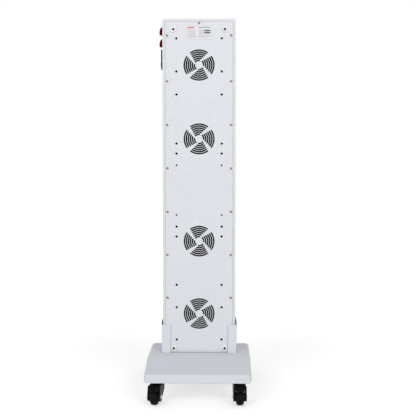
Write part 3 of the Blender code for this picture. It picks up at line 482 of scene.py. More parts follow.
def tyre_rubber():
    """Black tyre with a little floor dust on its tread."""
    finish = Finish("tyre_rubber", {"Specular IOR Level": 0.06})
    skin = finish.noise(1400.0, 2.0)
    dust = finish.steps(finish.noise(160.0, 4.0), 0.52, 0.80)
    finish.feed("Base Color", finish.mix(dust * 0.45, (0.0055, 0.0055, 0.0075), (0.024, 0.023, 0.024)))
    finish.feed("Roughness", dust * 0.18 + skin * 0.10 + 0.48)
    finish.bump(skin, 0.00008)
    return finish


def lens_plastic():
    """Clear moulded lenses over a white board: ringed lens faces with a deep red chip behind each."""
    finish = Finish("lens_plastic", {
        "Specular IOR Level": 0.55, "Coat Weight": 0.6, "Coat Roughness": 0.05})
    x, y, z = finish.split(finish.point)
    column = x / LENS_PITCH_X
    across = (column - column.math("ROUND")) * LENS_PITCH_X
    row = (z - panel_mid) / LENS_PITCH_Z
    along = (row - row.math("FLOOR") - 0.5) * LENS_PITCH_Z
    radius = (across * across + along * along) ** 0.5
    # the flat sheet between the lenses keeps the colour of the board
    sheet_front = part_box("lens_sheet_upper")[1].y - LENS_SHEET
    proud = y < sheet_front - GAP
    face = proud * (1.0 - finish.steps(radius, LENS_FACE - 0.0005, LENS_FACE + 0.0003))
    chip = 1.0 - finish.steps(radius, LENS_WELL * 0.75, LENS_WELL * 1.15)
    rings = ((radius * (2 * math.pi / LENS_RINGS)).math("SINE") + 1.0) * 0.5
    cloud = finish.noise(60.0, 2.0)
    board = finish.mix(cloud, (0.70, 0.71, 0.70), (0.78, 0.79, 0.78))
    clear = finish.mix(rings, (0.36, 0.30, 0.31), (0.60, 0.52, 0.53))
    lit = finish.mix(chip, clear, (0.22, 0.012, 0.014))
    finish.feed("Base Color", finish.mix(face, board, lit))
    finish.feed("Roughness", 0.30 - face * 0.16 + cloud * 0.06)
    finish.bump(rings * face, 0.00012)
    return finish


def label_paper():
    """Sticker without words: a thin rose frame, two heading bars, ruled lines and two dark bars."""
    finish = Finish("label_paper", {"Specular IOR Level": 0.40})
    low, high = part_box("rating_label")
    middle = (low + high) / 2
    half = (high - low) / 2
    x, y, z = finish.split(finish.point)
    # seen from behind, the label's left side is at +X
    right = (middle.x - x) / half.x
    up = (z - middle.z) / half.z

    def between(value, start, end):
        return (value > start) * (value < end)

    outside = between(right, -0.955, 0.955) * between(up, -0.92, 0.92)
    inside = between(right, -0.935, 0.935) * between(up, -0.885, 0.885)
    frame_line = outside * (1.0 - inside)
    beat = (up * 9.0).math("FRACT")
    ruled = between(beat, 0.30, 0.62) * between(up, -0.70, 0.42)
    columns = between(right, -0.84, -0.22) + between(right, -0.05, 0.82)
    heading = between(right, -0.88, -0.36) * between(up, 0.58, 0.76)
    title = between(right, -0.02, 0.80) * between(up, 0.60, 0.74)
    speck = finish.noise(500.0, 2.0)
    paper = finish.mix(speck, (0.76, 0.77, 0.80), (0.80, 0.81, 0.84))
    bars = between(right, 0.40, 0.86) * (between(up, 0.22, 0.36) + between(up, -0.08, 0.10))
    inked = finish.mix(ruled * columns * 0.95, paper, (0.38, 0.38, 0.41))
    inked = finish.mix(title * 0.80, inked, (0.26, 0.24, 0.26))
    inked = finish.mix(bars, inked, (0.07, 0.07, 0.08))
    inked = finish.mix(heading * 0.85, inked, (0.62, 0.10, 0.09))
    finish.feed("Base Color", finish.mix(frame_line * 0.85, inked, (0.66, 0.34, 0.37)))
    finish.feed("Roughness", speck * 0.12 + 0.40)
    finish.bump(speck, 0.00002)
    return finish


def circuit_board():
    """White solder mask with the faint raster of copper under it."""
    finish = Finish("circuit_board", {"Specular IOR Level": 0.45})
    x, y, z = finish.split(finish.point)
    track = ((x * 520.0).math("SINE") * (z * 520.0).math("SINE")) > 0.55
    cloud = finish.noise(50.0, 2.0)
    finish.feed("Base Color", finish.mix(track * 0.5, (0.76, 0.77, 0.76), (0.62, 0.60, 0.50)))
    finish.feed("Roughness", cloud * 0.15 + 0.32)
    return finish


paints = {
    "case": powder_coat("case_paint", (0.750, 0.762, 0.800)),
    "cover": powder_coat("cover_paint", (0.745, 0.762, 0.800)),
    "upright": powder_coat("upright_paint", (0.725, 0.748, 0.805)),
    "base": powder_coat("base_paint", (0.730, 0.752, 0.800), 0.46, 0.03),
}
steels = {
    "plain": metal("mill_steel", (0.46, 0.44, 0.42), 0.38, 900.0, (1.0, 1.0, 0.15)),
    "zinc": metal("zinc_plate", (0.66, 0.66, 0.67), 0.34, 700.0),
    "nickel": metal("screw_nickel", (0.26, 0.230, 0.205), 0.36, 1500.0),
    "dark": metal("dark_screw", (0.085, 0.060, 0.048), 0.40, 1500.0),
    "plate": metal("anodised_plate", (0.030, 0.030, 0.032), 0.46, 600.0, (0.1, 1.0, 1.0)),
    "driver": metal("driver_case_metal", (0.34, 0.35, 0.37), 0.42, 500.0, (1.0, 1.0, 0.1)),
}
plastics = {
    "black": plastic("switch_black", (0.010, 0.010, 0.012), 0.42, 1600.0, 0.00005, 0.20),
    "fan": plastic("fan_black", (0.004, 0.004, 0.005), 0.55, 1200.0, 0.00006, 0.10),
    "red": plastic("rocker_red", (0.105, 0.0008, 0.0010), 0.28, 900.0, 0.00001, 0.05),
    "mark": plastic("mark_white", (0.72, 0.72, 0.70), 0.45, 1200.0, 0.00001),
    "bumper": plastic("bumper_rubber", (0.90, 0.90, 0.905), 0.58, 900.0, 0.00005, 0.25),
    "rubber": plastic("liner_rubber", (0.012, 0.012, 0.013), 0.72, 1100.0, 0.00010, 0.25),
    # grey of the strip under the cover's edge, painted shade for the shadow at the cover's step
    "shade_line": plastic("shade_line_grey", (0.20, 0.20, 0.205), 0.70, 1100.0, 0.00010, 0.20),
    "fork": plastic("fork_enamel", (0.0055, 0.0055, 0.0070), 0.34, 420.0, 0.00006, 0.07),
    "hub": plastic("hub_plastic", (0.0060, 0.0060, 0.0075), 0.40, 1400.0, 0.00005, 0.07),
    "pedal": plastic("pedal_plastic", (0.0070, 0.0070, 0.0085), 0.46, 1500.0, 0.00006, 0.07),
    "cable": plastic("cable_jacket", (0.018, 0.018, 0.018), 0.55, 800.0, 0.00005),
    "lead": plastic("lead_jacket", (0.240, 0.018, 0.018), 0.50, 800.0, 0.00005),
}
tyre = tyre_rubber()
lens = lens_plastic()
paper = label_paper()
board = circuit_board()


class Pattern(Graph):
    """A Geometry Nodes tree that grows a repeated shape on points, with named inputs."""

    def __init__(self, name, numbers, **others):
        super().__init__(bpy.data.node_groups.new(name, "GeometryNodeTree"))
        kinds = {**dict.fromkeys(numbers, "Float"), **others, "Material": "Material"}
        face = self.tree.interface
        face.new_socket("Geometry", in_out="OUTPUT", socket_type="NodeSocketGeometry")
        face.new_socket("Points", in_out="INPUT", socket_type="NodeSocketGeometry")
        for label, kind in kinds.items():
            face.new_socket(label, in_out="INPUT", socket_type="NodeSocket" + kind)
        self.inlet = self.tree.nodes.new("NodeGroupInput")

    def given(self, label):
        return Wire(self, self.inlet.outputs[label])

    def close(self, geometry):
        painted = self.add("GeometryNodeSetMaterial", {}, {
            "Geometry": self.real(geometry), "Material": self.given("Material")})
        self.add("NodeGroupOutput", {}, {"Geometry": painted})
        return self

    def tapered_rod(self, sides, radius, height, waist):
        """Standing cylinder whose radius shrinks towards the top as the waist says."""
        blank = self.add("GeometryNodeMeshCylinder", {"fill_type": "NGON"},
                         {"Vertices": sides, "Side Segments": 3, "Radius": radius, "Depth": height})
        x, y, z = self.split(self.add("GeometryNodeInputPosition"))
        rise = z / height + 0.5
        share = (1.0 - (rise * waist) ** 2.0) ** 0.5
        return self.add("GeometryNodeSetPosition", {}, {
            "Geometry": blank, "Position": self.vector(x * share, y * share, z + height * 0.5)})

    def real(self, geometry):
        return self.add("GeometryNodeRealizeInstances", {}, {"Geometry": geometry})

    def together(self, *parts):
        return self.add("GeometryNodeJoinGeometry", {}, {"Geometry": list(parts)})

    def changed(self, geometry, **changes):
        """Geometry moved, turned or scaled."""
        return self.add("GeometryNodeTransform", {}, {"Geometry": geometry, **changes})

    def numbered(self, geometry, label, domain):
        """Geometry that keeps the index of its points or instances under a label."""
        return self.add("GeometryNodeStoreNamedAttribute", {"data_type": "FLOAT", "domain": domain},
                        {"Geometry": geometry, "Name": label, "Value": self.add("GeometryNodeInputIndex")})

    def named(self, label):
        return self.add("GeometryNodeInputNamedAttribute", {"data_type": "FLOAT"}, {"Name": label})

    def copies(self, points, shape, **more):
        """Copies of a shape on points."""
        return self.add("GeometryNodeInstanceOnPoints", {}, {"Points": points, "Instance": shape, **more})

    def stand_on(self, shape):
        """Copies of a shape on the points, their Z along the input named Axis."""
        turn = self.add("FunctionNodeAlignRotationToVector", {"axis": "Z"}, {"Vector": self.given("Axis")})
        return self.copies(self.given("Points"), shape, Rotation=turn)

    def grow(self, points, finish, sizes):
        """Plain mesh of the pattern on the given points, for the named sizes."""
        mesh = points if isinstance(points, bpy.types.Mesh) else point_mesh(points)
        given = {**sizes, "Material": finish.material}
        inputs = {item.identifier: given[item.name] for item in self.tree.interface.items_tree
                  if item.in_out == "INPUT" and item.name in given}
        return modified(mesh, "NODES", {"node_group": self.tree}, inputs)


def linked(name, data):
    """New object in the scene."""
    item = bpy.data.objects.new(name, data)
    bpy.context.scene.collection.objects.link(item)
    return item


def modified(mesh, kind, settings, inputs=None):
    """Mesh as one modifier leaves it; the inputs are those of a node tree."""
    holder = linked("holder", mesh)
    step = holder.modifiers.new("step", kind)
    for name, value in settings.items():
        setattr(step, name, value)
    for key, value in (inputs or {}).items():
        step[key] = value
    graph = bpy.context.evaluated_depsgraph_get()
    result = bpy.data.meshes.new_from_object(holder.evaluated_get(graph))
    bpy.data.objects.remove(holder)
    return result


def point_mesh(points):
    mesh = bpy.data.meshes.new("points")
    mesh.from_pydata([tuple(point) for point in points], [], [])
    return mesh


def screw_pattern():
    """Domed screw heads with a cross recess, each turned by chance."""
    p = Pattern("cross_head_screws", ("Head Radius", "Head Height", "Recess Length", "Recess Width"),
                Axis="Vector", Seed="Int")
    height = p.given("Head Height")
    head = p.tapered_rod(SCREW_SIDES, p.given("Head Radius"), height, SCREW_DOME)
    length, width = p.given("Recess Length"), p.given("Recess Width")
    arms = []
    for size in (p.vector(length, width, height), p.vector(width, length, height)):
        arm = p.add("GeometryNodeMeshCube", {}, {"Size": size})
        arms.append(p.changed(arm, Translation=p.vector(0.0, 0.0, height)))
    recessed = p.add("GeometryNodeMeshBoolean", {"operation": "DIFFERENCE", "solver": "EXACT"},
                     {"Mesh 1": head, "Mesh 2": arms})
    chance = p.add("FunctionNodeRandomValue", {"data_type": "FLOAT"},
                   {2: 0.0, 3: math.pi / 2, "Seed": p.given("Seed")}, 1)
    spin = p.add("FunctionNodeEulerToRotation", {}, {0: p.vector(0.0, 0.0, chance)})
    heads = p.add("GeometryNodeRotateInstances", {}, {"Instances": p.stand_on(recessed), "Rotation": spin})
    return p.close(heads)


def hex_pattern():
    """Hexagon heads or nuts on washers, with the end of a stud."""
    p = Pattern("hex_fasteners", HEX_SIZES, Axis="Vector")
    thick = p.given("Washer Thickness")
    washer = p.tapered_rod(WASHER_SIDES, p.given("Washer Radius"), thick, WASHER_TAPER)
    nut = p.tapered_rod(HEX_SIDES, p.given("Hex Radius"), p.given("Hex Height"), HEX_TAPER)
    stud = p.tapered_rod(STUD_SIDES, p.given("Stud Radius"), p.given("Stud Length"), STUD_TAPER)
    raised = [p.changed(shape, Translation=p.vector(0.0, 0.0, thick)) for shape in (nut, stud)]
    return p.close(p.stand_on(p.together(washer, *raised)))


def lens_pattern():
    """Rows and columns of one lens around a point, in the X and Z directions, on their moulded sheet."""
    p = Pattern("lens_field", ("Pitch X", "Pitch Z"), Lens="Object", Columns="Int", Rows="Int",
                Middle="Vector")
    columns, rows = p.given("Columns"), p.given("Rows")
    grid = p.add("GeometryNodeMeshGrid", {}, {
        "Size X": (columns - 1.0) * p.given("Pitch X"), "Size Y": (rows - 1.0) * p.given("Pitch Z"),
        "Vertices X": columns, "Vertices Y": rows})
    upright = p.changed(grid, Rotation=(math.pi / 2, 0.0, 0.0), Translation=p.given("Middle"))
    shape = p.add("GeometryNodeObjectInfo", {}, {"Object": p.given("Lens")}, "Geometry")
    return p.close(p.together(p.copies(upright, shape), p.given("Points")))


def rib_pattern():
    """Ridges across a tread plate, one behind the other along Y."""
    p = Pattern("tread_ribs", ("Pitch", "Length", "Width", "Height"), Count="Int")
    line = p.add("GeometryNodeMeshLine", {}, {
        "Count": p.given("Count"), "Offset": p.vector(0.0, p.given("Pitch"), 0.0)})
    blank = p.tapered_rod(4, p.given("Width") * math.sqrt(0.5), p.given("Height"), RIB_TAPER)
    square = p.changed(blank, Rotation=(0.0, 0.0, math.pi / 4))
    ridge = p.changed(square, Scale=p.vector(p.given("Length") / p.given("Width"), 1.0, 1.0))
    return p.close(p.copies(line, ridge))


def sheet_pattern():
    """Perforated sheet: a round hole at each point with a bore, and a swirl grille at each without one.

    It is drawn in X and Y around the middle of the sheet and grows towards Z.
    """
    p = Pattern("perforated_sheet", (
        "Width", "Height", "Thickness", "Corner", "Inner Radius", "Ring Pitch", "Slot Width",
        "Near Angle", "Near Offset", "Far Angle", "Far Offset"), Steps="Int", Rings="Int")
    bore = p.named("bore")

    # one slot is a loop of points that runs out along its outer arc and back along the inner one
    count = p.given("Steps") + 1.0
    loop = p.add("GeometryNodeCurvePrimitiveCircle", {"mode": "RADIUS"}, {"Resolution": count * 2.0})
    seats = p.add("GeometryNodeMeshLine", {}, {"Count": p.given("Rings") * 4.0, "Offset": (0.0, 0.0, 0.0)})
    slots = p.copies(seats, p.numbered(loop, "step", "POINT"))
    slots = p.real(p.numbered(slots, "slot", "INSTANCE"))
    step, slot = p.named("step"), p.named("slot")
    outward = step < count - 0.5
    back = (2.0 * count - 1.0 - step) / (count - 1.0)
    share = outward * (step / (count - 1.0)) + (1.0 - outward) * back
    ring = (slot / 4.0 + NUDGE).math("FLOOR")
    quadrant = slot - ring * 4.0
    middle = p.given("Inner Radius") + ring * p.given("Ring Pitch")
    start = p.given("Near Angle") + (p.given("Near Offset") / middle).math("ARCSINE")
    end = p.given("Far Angle") + math.pi / 2 + (p.given("Far Offset") / middle).math("ARCSINE")
    angle = start + (end - start) * share + quadrant * (math.pi / 2)
    radius = middle + (outward - 0.5) * p.given("Slot Width")
    # the swirl is drawn as seen from behind, where X runs to the left
    spot = p.vector(0.0 - radius * angle.math("COSINE"), radius * angle.math("SINE"), 0.0)
    grille = p.add("GeometryNodeSetPosition", {}, {"Geometry": slots, "Position": spot})
    grilles = p.copies(p.given("Points"), grille, Selection=bore < NEAR)

    hole = p.add("GeometryNodeCurvePrimitiveCircle", {"mode": "RADIUS"},
                 {"Resolution": HOLE_SIDES, "Radius": 1.0})
    holes = p.copies(p.given("Points"), hole, Selection=bore > NEAR, Scale=p.vector(bore, bore, bore))
    rim = p.add("GeometryNodeCurvePrimitiveQuadrilateral", {"mode": "RECTANGLE"},
                {"Width": p.given("Width"), "Height": p.given("Height")})
    rim = p.add("GeometryNodeFilletCurve", {"mode": "POLY"}, {
        "Curve": rim, "Count": 4, "Radius": p.given("Corner")})
    lines = p.real(p.together(rim, holes, grilles))
    flat = p.add("GeometryNodeFillCurve", {"mode": "TRIANGLES"}, {"Curve": lines})
    raised = p.add("GeometryNodeExtrudeMesh", {"mode": "FACES"}, {
        "Mesh": flat, "Offset Scale": p.given("Thickness"), "Individual": False})
    under = p.add("GeometryNodeFlipFaces", {}, {"Mesh": flat})
    sheet = p.together(raised, under)
    return p.close(p.add("GeometryNodeMergeByDistance", {}, {"Geometry": sheet, "Distance": MERGE}))


screws = screw_pattern()
hexes = hex_pattern()
punched = sheet_pattern()


def place(axis, a, b, height):
    """Point of a section drawn across the given axis."""
    if axis == "X":
        return (height, a, b)
    if axis == "Y":
        return (a, height, b)
    return (a, b, height)


def to_mesh(bm):
    mesh = bpy.data.meshes.new("shape")
    bm.to_mesh(mesh)
    bm.free()
    return mesh


def loft_mesh(rings, closed_loop=False):
    """Skin over a list of rings that have the same number of points."""
    bm = bmesh.new()
    rows = [[bm.verts.new(point) for point in ring] for ring in rings]
    count = len(rows[0])
    pairs = list(zip(rows, rows[1:]))
    if closed_loop:
        pairs.append((rows[-1], rows[0]))
    for low, high in pairs:
        for i in range(count):
            j = (i + 1) % count
            bm.faces.new((low[i], low[j], high[j], high[i]))
    if not closed_loop:
        bm.faces.new(rows[0][::-1])
        bm.faces.new(rows[-1])
    bmesh.ops.recalc_face_normals(bm, faces=bm.faces[:])
    return to_mesh(bm)


def prism_mesh(outline, axis, low, high):
    """Flat outline drawn out along an axis."""
    return loft_mesh([[place(axis, a, b, h) for a, b in outline] for h in (low, high)])


def box_mesh(x0, x1, y0, y1, z0, z1):
    return prism_mesh([(x0, y0), (x1, y0), (x1, y1), (x0, y1)], "Z", z0, z1)


def circle(a, b, radius, sides):
    turn = 2 * math.pi / sides
    return [(a + radius * math.cos(turn * i), b + radius * math.sin(turn * i)) for i in range(sides)]


def rod_mesh(axis, a, b, radius, low, high):
    return prism_mesh(circle(a, b, radius, HOLE_SIDES), axis, low, high)


def turned_mesh(axis, a, b, profile, sides, hollow=False):
    """Turned shape: profile of (radius, height) pairs around an axis."""
    rings = [[place(axis, u, v, height) for u, v in circle(a, b, radius, sides)]
             for radius, height in profile]
    return loft_mesh(rings, closed_loop=hollow)


def arc(a, b, radius, start, end, steps):
    """Points along an arc, the angles in degrees."""
    angles = [math.radians(start + (end - start) * i / steps) for i in range(steps + 1)]
    return [(a + radius * math.cos(angle), b + radius * math.sin(angle)) for angle in angles]


def rounded(outline, radii, steps=6):
    """Outline with its corners rounded, each by its own radius."""
    points = []
    count = len(outline)
    for i, radius in enumerate(radii):
        corner = Vector(outline[i])
        back = (Vector(outline[i - 1]) - corner).normalized()
        ahead = (Vector(outline[(i + 1) % count]) - corner).normalized()
        if radius <= 0:
            points.append(tuple(corner))
            continue
        half = back.angle(ahead) / 2
        middle = corner + (back + ahead).normalized() * (radius / math.sin(half))
        first = corner + back * (radius / math.tan(half)) - middle
        last = corner + ahead * (radius / math.tan(half)) - middle
        sweep = math.atan2(first.x * last.y - first.y * last.x, first.dot(last))
        for j in range(steps + 1):
            turn = Matrix.Rotation(sweep * j / steps, 2)
            points.append(tuple(middle + turn @ first))
    return points


def joined(meshes):
    """Several meshes as one."""
    bm = bmesh.new()
    for mesh in meshes:
        bm.from_mesh(mesh)
    return to_mesh(bm)


def carve(mesh, tools, operation="DIFFERENCE"):
    """Boolean of a mesh with other solids."""
    guest = linked("guest", joined(tools))
    result = modified(mesh, "BOOLEAN", {"operation": operation, "solver": "EXACT", "object": guest})
    bpy.data.objects.remove(guest)
    return result


def bevelled(mesh, width, segments, by_weight=False):
    """Mesh with its sharp edges, or its weighted ones, rounded."""
    return modified(mesh, "BEVEL", {
        "width": width, "segments": segments, "limit_method": "WEIGHT" if by_weight else "ANGLE",
        "angle_limit": math.radians(CREASE_ANGLE)})


def edged(source, width_of, segments):
    """Merged copy of a mesh whose edges are rounded by one width, or by what a rule gives each."""
    bm = bmesh.new()
    bm.from_mesh(source)
    bmesh.ops.remove_doubles(bm, verts=bm.verts[:], dist=MERGE)
    bmesh.ops.dissolve_limit(bm, angle_limit=math.radians(FLAT_ANGLE), verts=bm.verts[:], edges=bm.edges[:])
    weight = bm.edges.layers.float.new("bevel_weight_edge")
    widths = {}
    for edge in bm.edges:
        if edge.calc_face_angle(0.0) > math.radians(CREASE_ANGLE):
            middle = (edge.verts[0].co + edge.verts[1].co) / 2
            widths[edge] = width_of(middle) if callable(width_of) else width_of
    largest = max(widths.values())
    for edge, width in widths.items():
        edge[weight] = width / largest
    mesh = to_mesh(bm)
    mesh.materials.clear()
    return bevelled(mesh, largest, segments, by_weight=True)


def add_piece(name, mesh, finish, slot, *nodes, body="stand"):
    """Finished piece on its body, standing for the named solids."""
    mesh.shade_smooth()
    mesh.set_sharp_from_angle(angle=math.radians(SMOOTH_ANGLE))
    mesh = modified(mesh, "WEIGHTED_NORMAL", {"keep_sharp": True})
    mesh.name = name
    piece = linked(name, mesh)
    finishes = finish if isinstance(finish, tuple) else (finish,)
    picks = [min(face.material_index, len(finishes) - 1) for face in mesh.polygons]
    mesh.materials.clear()
    for item in finishes:
        mesh.materials.append(item.material)
    mesh.polygons.foreach_set("material_index", picks)
    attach(piece, body)
    if nodes:
        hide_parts(*nodes)


def softened(node, width_of, segments=2):
    """Copy of a solid with its edges rounded."""
    return edged(frame["nodes"][node].data, width_of, segments)


def add_softened(name, node, width_of, finish, slot, segments=2, body="stand"):
    """Piece that is a solid with its edges rounded."""
    add_piece(name, softened(node, width_of, segments), finish, slot, node, body=body)


def dress(finish, *nodes):
    """Finish of solids that are shown as they are."""
    for node in nodes:
        for slot in frame["nodes"][node].material_slots:
            slot.material = finish.material


def add_screws(name, spots, finish, sizes, axis, seed):
    """Screw heads on their places; the sizes are a head's radius, its height and its recess's length."""
    radius, height, recess = sizes
    heads = screws.grow(spots, finish, {
        "Head Radius": radius, "Head Height": height, "Recess Length": recess, "Recess Width": RECESS_WIDTH,
        "Axis": axis, "Seed": seed})
    add_piece(name, heads, finish, "zinc_steel")


def both_signs(values):
    return [sign * value for value in values for sign in (1, -1)]


def both_sides(x, rows):
    """Places at the rows on both sides of the middle line."""
    return [(side, row) for side in (x, -x) for row in rows]


def at_height(places, z):
    return [(x, y, z) for x, y in places]


def border(low, high):
    """Corners of an upright rectangle as (x, z)."""
    return [(low.x, low.z), (high.x, low.z), (high.x, high.z), (low.x, high.z)]


def quarter(steps):
    """Angles from 0 to a quarter turn."""
    return [math.pi / 2 * i / steps for i in range(steps + 1)]


def middle_of(node):
    low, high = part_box(node)
    return (low + high) / 2


def cover_screw_places():
    """Places of the cover screws as (x, z), z from the middle of the panel."""
    last = half_height - EDGE_SCREW_FROM_END
    rows = [EDGE_SCREW_PITCH * (i + 0.5) for i in range(int(last / EDGE_SCREW_PITCH))] + [last]
    side = panel_side - EDGE_SCREW_INSET
    places = [(x, row) for row in both_signs(rows) for x in (side, -side)]
    return places + [(0.0, row) for row in both_signs([half_height - END_SCREW_FROM_END])]


def bumper_places():
    spots = [middle_of("corner_bumper_%d" % i) for i in NUMBERS]
    return [(spot.x, spot.z - panel_mid) for spot in spots]


def build_case():
    def fold(spot):
        """Bend radius on the outer edges of the case, a broken edge on the rest."""
        sides = zip(spot, case_low, case_high)
        touching = sum(min(abs(at - low), abs(at - high)) < NEAR for at, low, high in sides)
        return CASE_BEND if touching >= 2 else CUT_EDGE

    add_softened("case_shell", "main_housing", fold, paints["case"], "housing_white", 3)


def strip_bores():
    """Bore of each strip hole by its distance from the middle of the panel."""
    rows = {}
    for inset in STRIP_HOLES_FROM_END:
        last = inset == STRIP_HOLES_FROM_END[-1]
        for row in both_signs([half_height - inset]):
            rows[row] = LAST_HOLE_RADIUS if last else STRIP_HOLE_RADIUS
    return rows


def punched_sheet(node, bores, finish):
    """Upright sheet that fills the box of a solid, with bores given as {(x, row): radius}.

    The places are measured from the middle of the sheet, and a bore of 0 is a grille.
    """
    low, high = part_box(node)
    points = point_mesh([(x, row, 0.0) for x, row in bores])
    points.attributes.new("bore", "FLOAT", "POINT").data.foreach_set("value", list(bores.values()))
    sheet = punched.grow(points, finish, {
        "Width": high.x - low.x, "Height": high.z - low.z, "Thickness": high.y - low.y,
        "Corner": COVER_CORNER, "Steps": SLOT_STEPS, "Rings": GRILLE_RINGS,
        "Inner Radius": GRILLE_INNER, "Ring Pitch": GRILLE_PITCH, "Slot Width": GRILLE_SLOT,
        "Near Angle": math.radians(SPOKE_NEAR_ANGLE), "Near Offset": SPOKE_NEAR_OFFSET,
        "Far Angle": math.radians(SPOKE_FAR_ANGLE), "Far Offset": SPOKE_FAR_OFFSET})
    middle = (low + high) / 2
    sheet.transform(Matrix.Translation((middle.x, high.y, middle.z)) @ Matrix.Rotation(math.pi / 2, 4, "X"))
    return sheet


def build_strips():
    """Threaded strips behind the two columns of holes."""
    for name, side in (("left", 1), ("right", -1)):
        node = "tapped_strip_" + name
        middle = middle_of(node)
        x = side * (panel_side - STRIP_HOLE_INSET) - middle.x
        bores = {(x, row + panel_mid - middle.z): bore for row, bore in strip_bores().items()}
        strip = edged(punched_sheet(node, bores, steels["plain"]), CUT_EDGE, 2)
        add_piece("threaded_strip_" + name, strip, steels["plain"], "plain_steel", node)


def build_cover():
    strip_x = panel_side - STRIP_HOLE_INSET
    bores = {spot: SCREW_HOLE for spot in cover_screw_places() + bumper_places()}
    bores.update({(x, row): bore for row, bore in strip_bores().items() for x in (strip_x, -strip_x)})
    for i in NUMBERS:
        bores[(0.0, middle_of("fan_frame_%d" % i).z - panel_mid)] = 0.0
    sheet = punched_sheet("rear_cover", bores, paints["cover"])
    inner_x = cover_high.x - COVER_CORNER
    inner_z = cover_high.z - panel_mid - COVER_CORNER

    def worn(spot):
        """The sheet's own border is rounder than its punched holes."""
        outer = abs(spot.x) > inner_x or abs(spot.z - panel_mid) > inner_z
        return SHEARED_EDGE if outer else CUT_EDGE

    add_piece("cover_sheet", edged(sheet, worn, 3), paints["cover"], "cover_white", "rear_cover")

    # a grey strip under the cover, proud of its edge, draws a thin dark line around it: painted shade
    # standing in for the shadow at the cover's step
    corners = border(cover_low, cover_high)
    middle = middle_of("rear_cover")
    edge = [(x + math.copysign(SHADE_LINE_WIDTH, x - middle.x), z + math.copysign(SHADE_LINE_WIDTH, z - middle.z))
            for x, z in corners]
    seat = cover_low.y + SHADE_LINE_HEIGHT
    rings = [[place("Y", a, b, y) for a, b in outline]
             for outline, y in ((corners, cover_low.y), (edge, cover_low.y), (edge, seat), (corners, seat))]
    add_piece("cover_seal", loft_mesh(rings, closed_loop=True), plastics["shade_line"], "black_rubber")

    spots = [(x, cover_face, panel_mid + row) for x, row in cover_screw_places()]
    add_screws("cover_screws", spots, steels["nickel"],
               (SCREW_HEAD_RADIUS, SCREW_HEAD_HEIGHT, RECESS_LENGTH), REARWARD, COVER_SEED)


def build_bumpers():
    low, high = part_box("corner_bumper_1")
    radius = (high.x - low.x) / 2
    well = high.y - BUMPER_WELL_DEPTH
    profile = [(SCREW_HOLE, low.y), (radius, low.y)]
    edge = arc(radius - BUMPER_EDGE, high.y - BUMPER_EDGE, BUMPER_EDGE, 0, 90, 5)
    lip = arc(BUMPER_WELL + MOULDED_EDGE, high.y - MOULDED_EDGE, MOULDED_EDGE, 90, 180, 3)
    profile += edge + lip + [(BUMPER_WELL, well), (SCREW_HOLE, well)]
    spots = bumper_places()
    for i, (x, row) in zip(NUMBERS, spots):
        foot = turned_mesh("Y", x, panel_mid + row, profile, ROUND_SIDES, hollow=True)
        add_piece("bumper_foot_%d" % i, foot, plastics["bumper"], "bumper_rubber", "corner_bumper_%d" % i)
    add_screws("bumper_screws", [(x, well, panel_mid + row) for x, row in spots], steels["dark"],
               (BUMPER_SCREW_RADIUS, BUMPER_SCREW_HEIGHT, RECESS_LENGTH), REARWARD, BUMPER_SEED)


def build_label():
    low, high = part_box("rating_label")
    sticker = prism_mesh(rounded(border(low, high), [LABEL_CORNER] * 4), "Y", low.y, high.y)
    add_piece("blank_label", sticker, paper, "label_stock", "rating_label")


def lens_mesh(face):
    """One lens around its own axis along Y: a cone that widens to a crowned face with a well in it."""
    seat = face + (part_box("lens_sheet_upper")[1].y - face) * LENS_SEAT
    profile = [(LENS_BASE, seat), (LENS_FACE, face + 2 * LENS_CROWN),
               (LENS_FACE - LENS_CROWN, face + LENS_CROWN / 2), (LENS_WELL * 2, face),
               (LENS_WELL, face + 2 * LENS_CROWN)]
    return turned_mesh("Y", 0.0, 0.0, profile, LENS_SIDES)


def build_lamps():
    field = lens_pattern()
    for name, side in (("upper", 1), ("lower", -1)):
        node = "lens_sheet_" + name
        low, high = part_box(node)
        sheet = box_mesh(low.x, high.x, high.y - LENS_SHEET, high.y, low.z, high.z)
        single = linked("single_lens", lens_mesh(low.y))
        row_middle = panel_mid + side * LENS_PITCH_Z * LENS_ROWS / 2
        lenses = field.grow(bevelled(sheet, CUT_EDGE, 2), lens, {
            "Lens": single, "Columns": LENS_COLUMNS, "Rows": LENS_ROWS, "Pitch X": LENS_PITCH_X,
            "Pitch Z": LENS_PITCH_Z, "Middle": (0.0, 0.0, row_middle)})
        bpy.data.objects.remove(single)
        add_piece("lens_array_" + name, lenses, lens, "lens_clear", node)


def rocker_mesh(half_width):
    """Rocker with a crowned face around its pivot, which lies along Y."""
    skirt = ROCKER_HALF - ROCKER_SKIRT_INSET
    outline = [(-ROCKER_TAIL, -ROCKER_TAIL_HALF), (-ROCKER_TAIL, ROCKER_TAIL_HALF), (-ROCKER_SKIRT, skirt)]
    for i in range(ROCKER_STEPS + 1):
        share = 1 - 2 * i / ROCKER_STEPS
        outline.append((ROCKER_PROUD + ROCKER_CROWN * (1 - share ** 2), ROCKER_HALF * share))
    outline.append((-ROCKER_SKIRT, -skirt))
    return bevelled(prism_mesh(outline, "Y", -half_width, half_width), ROCKER_EDGE, 3)


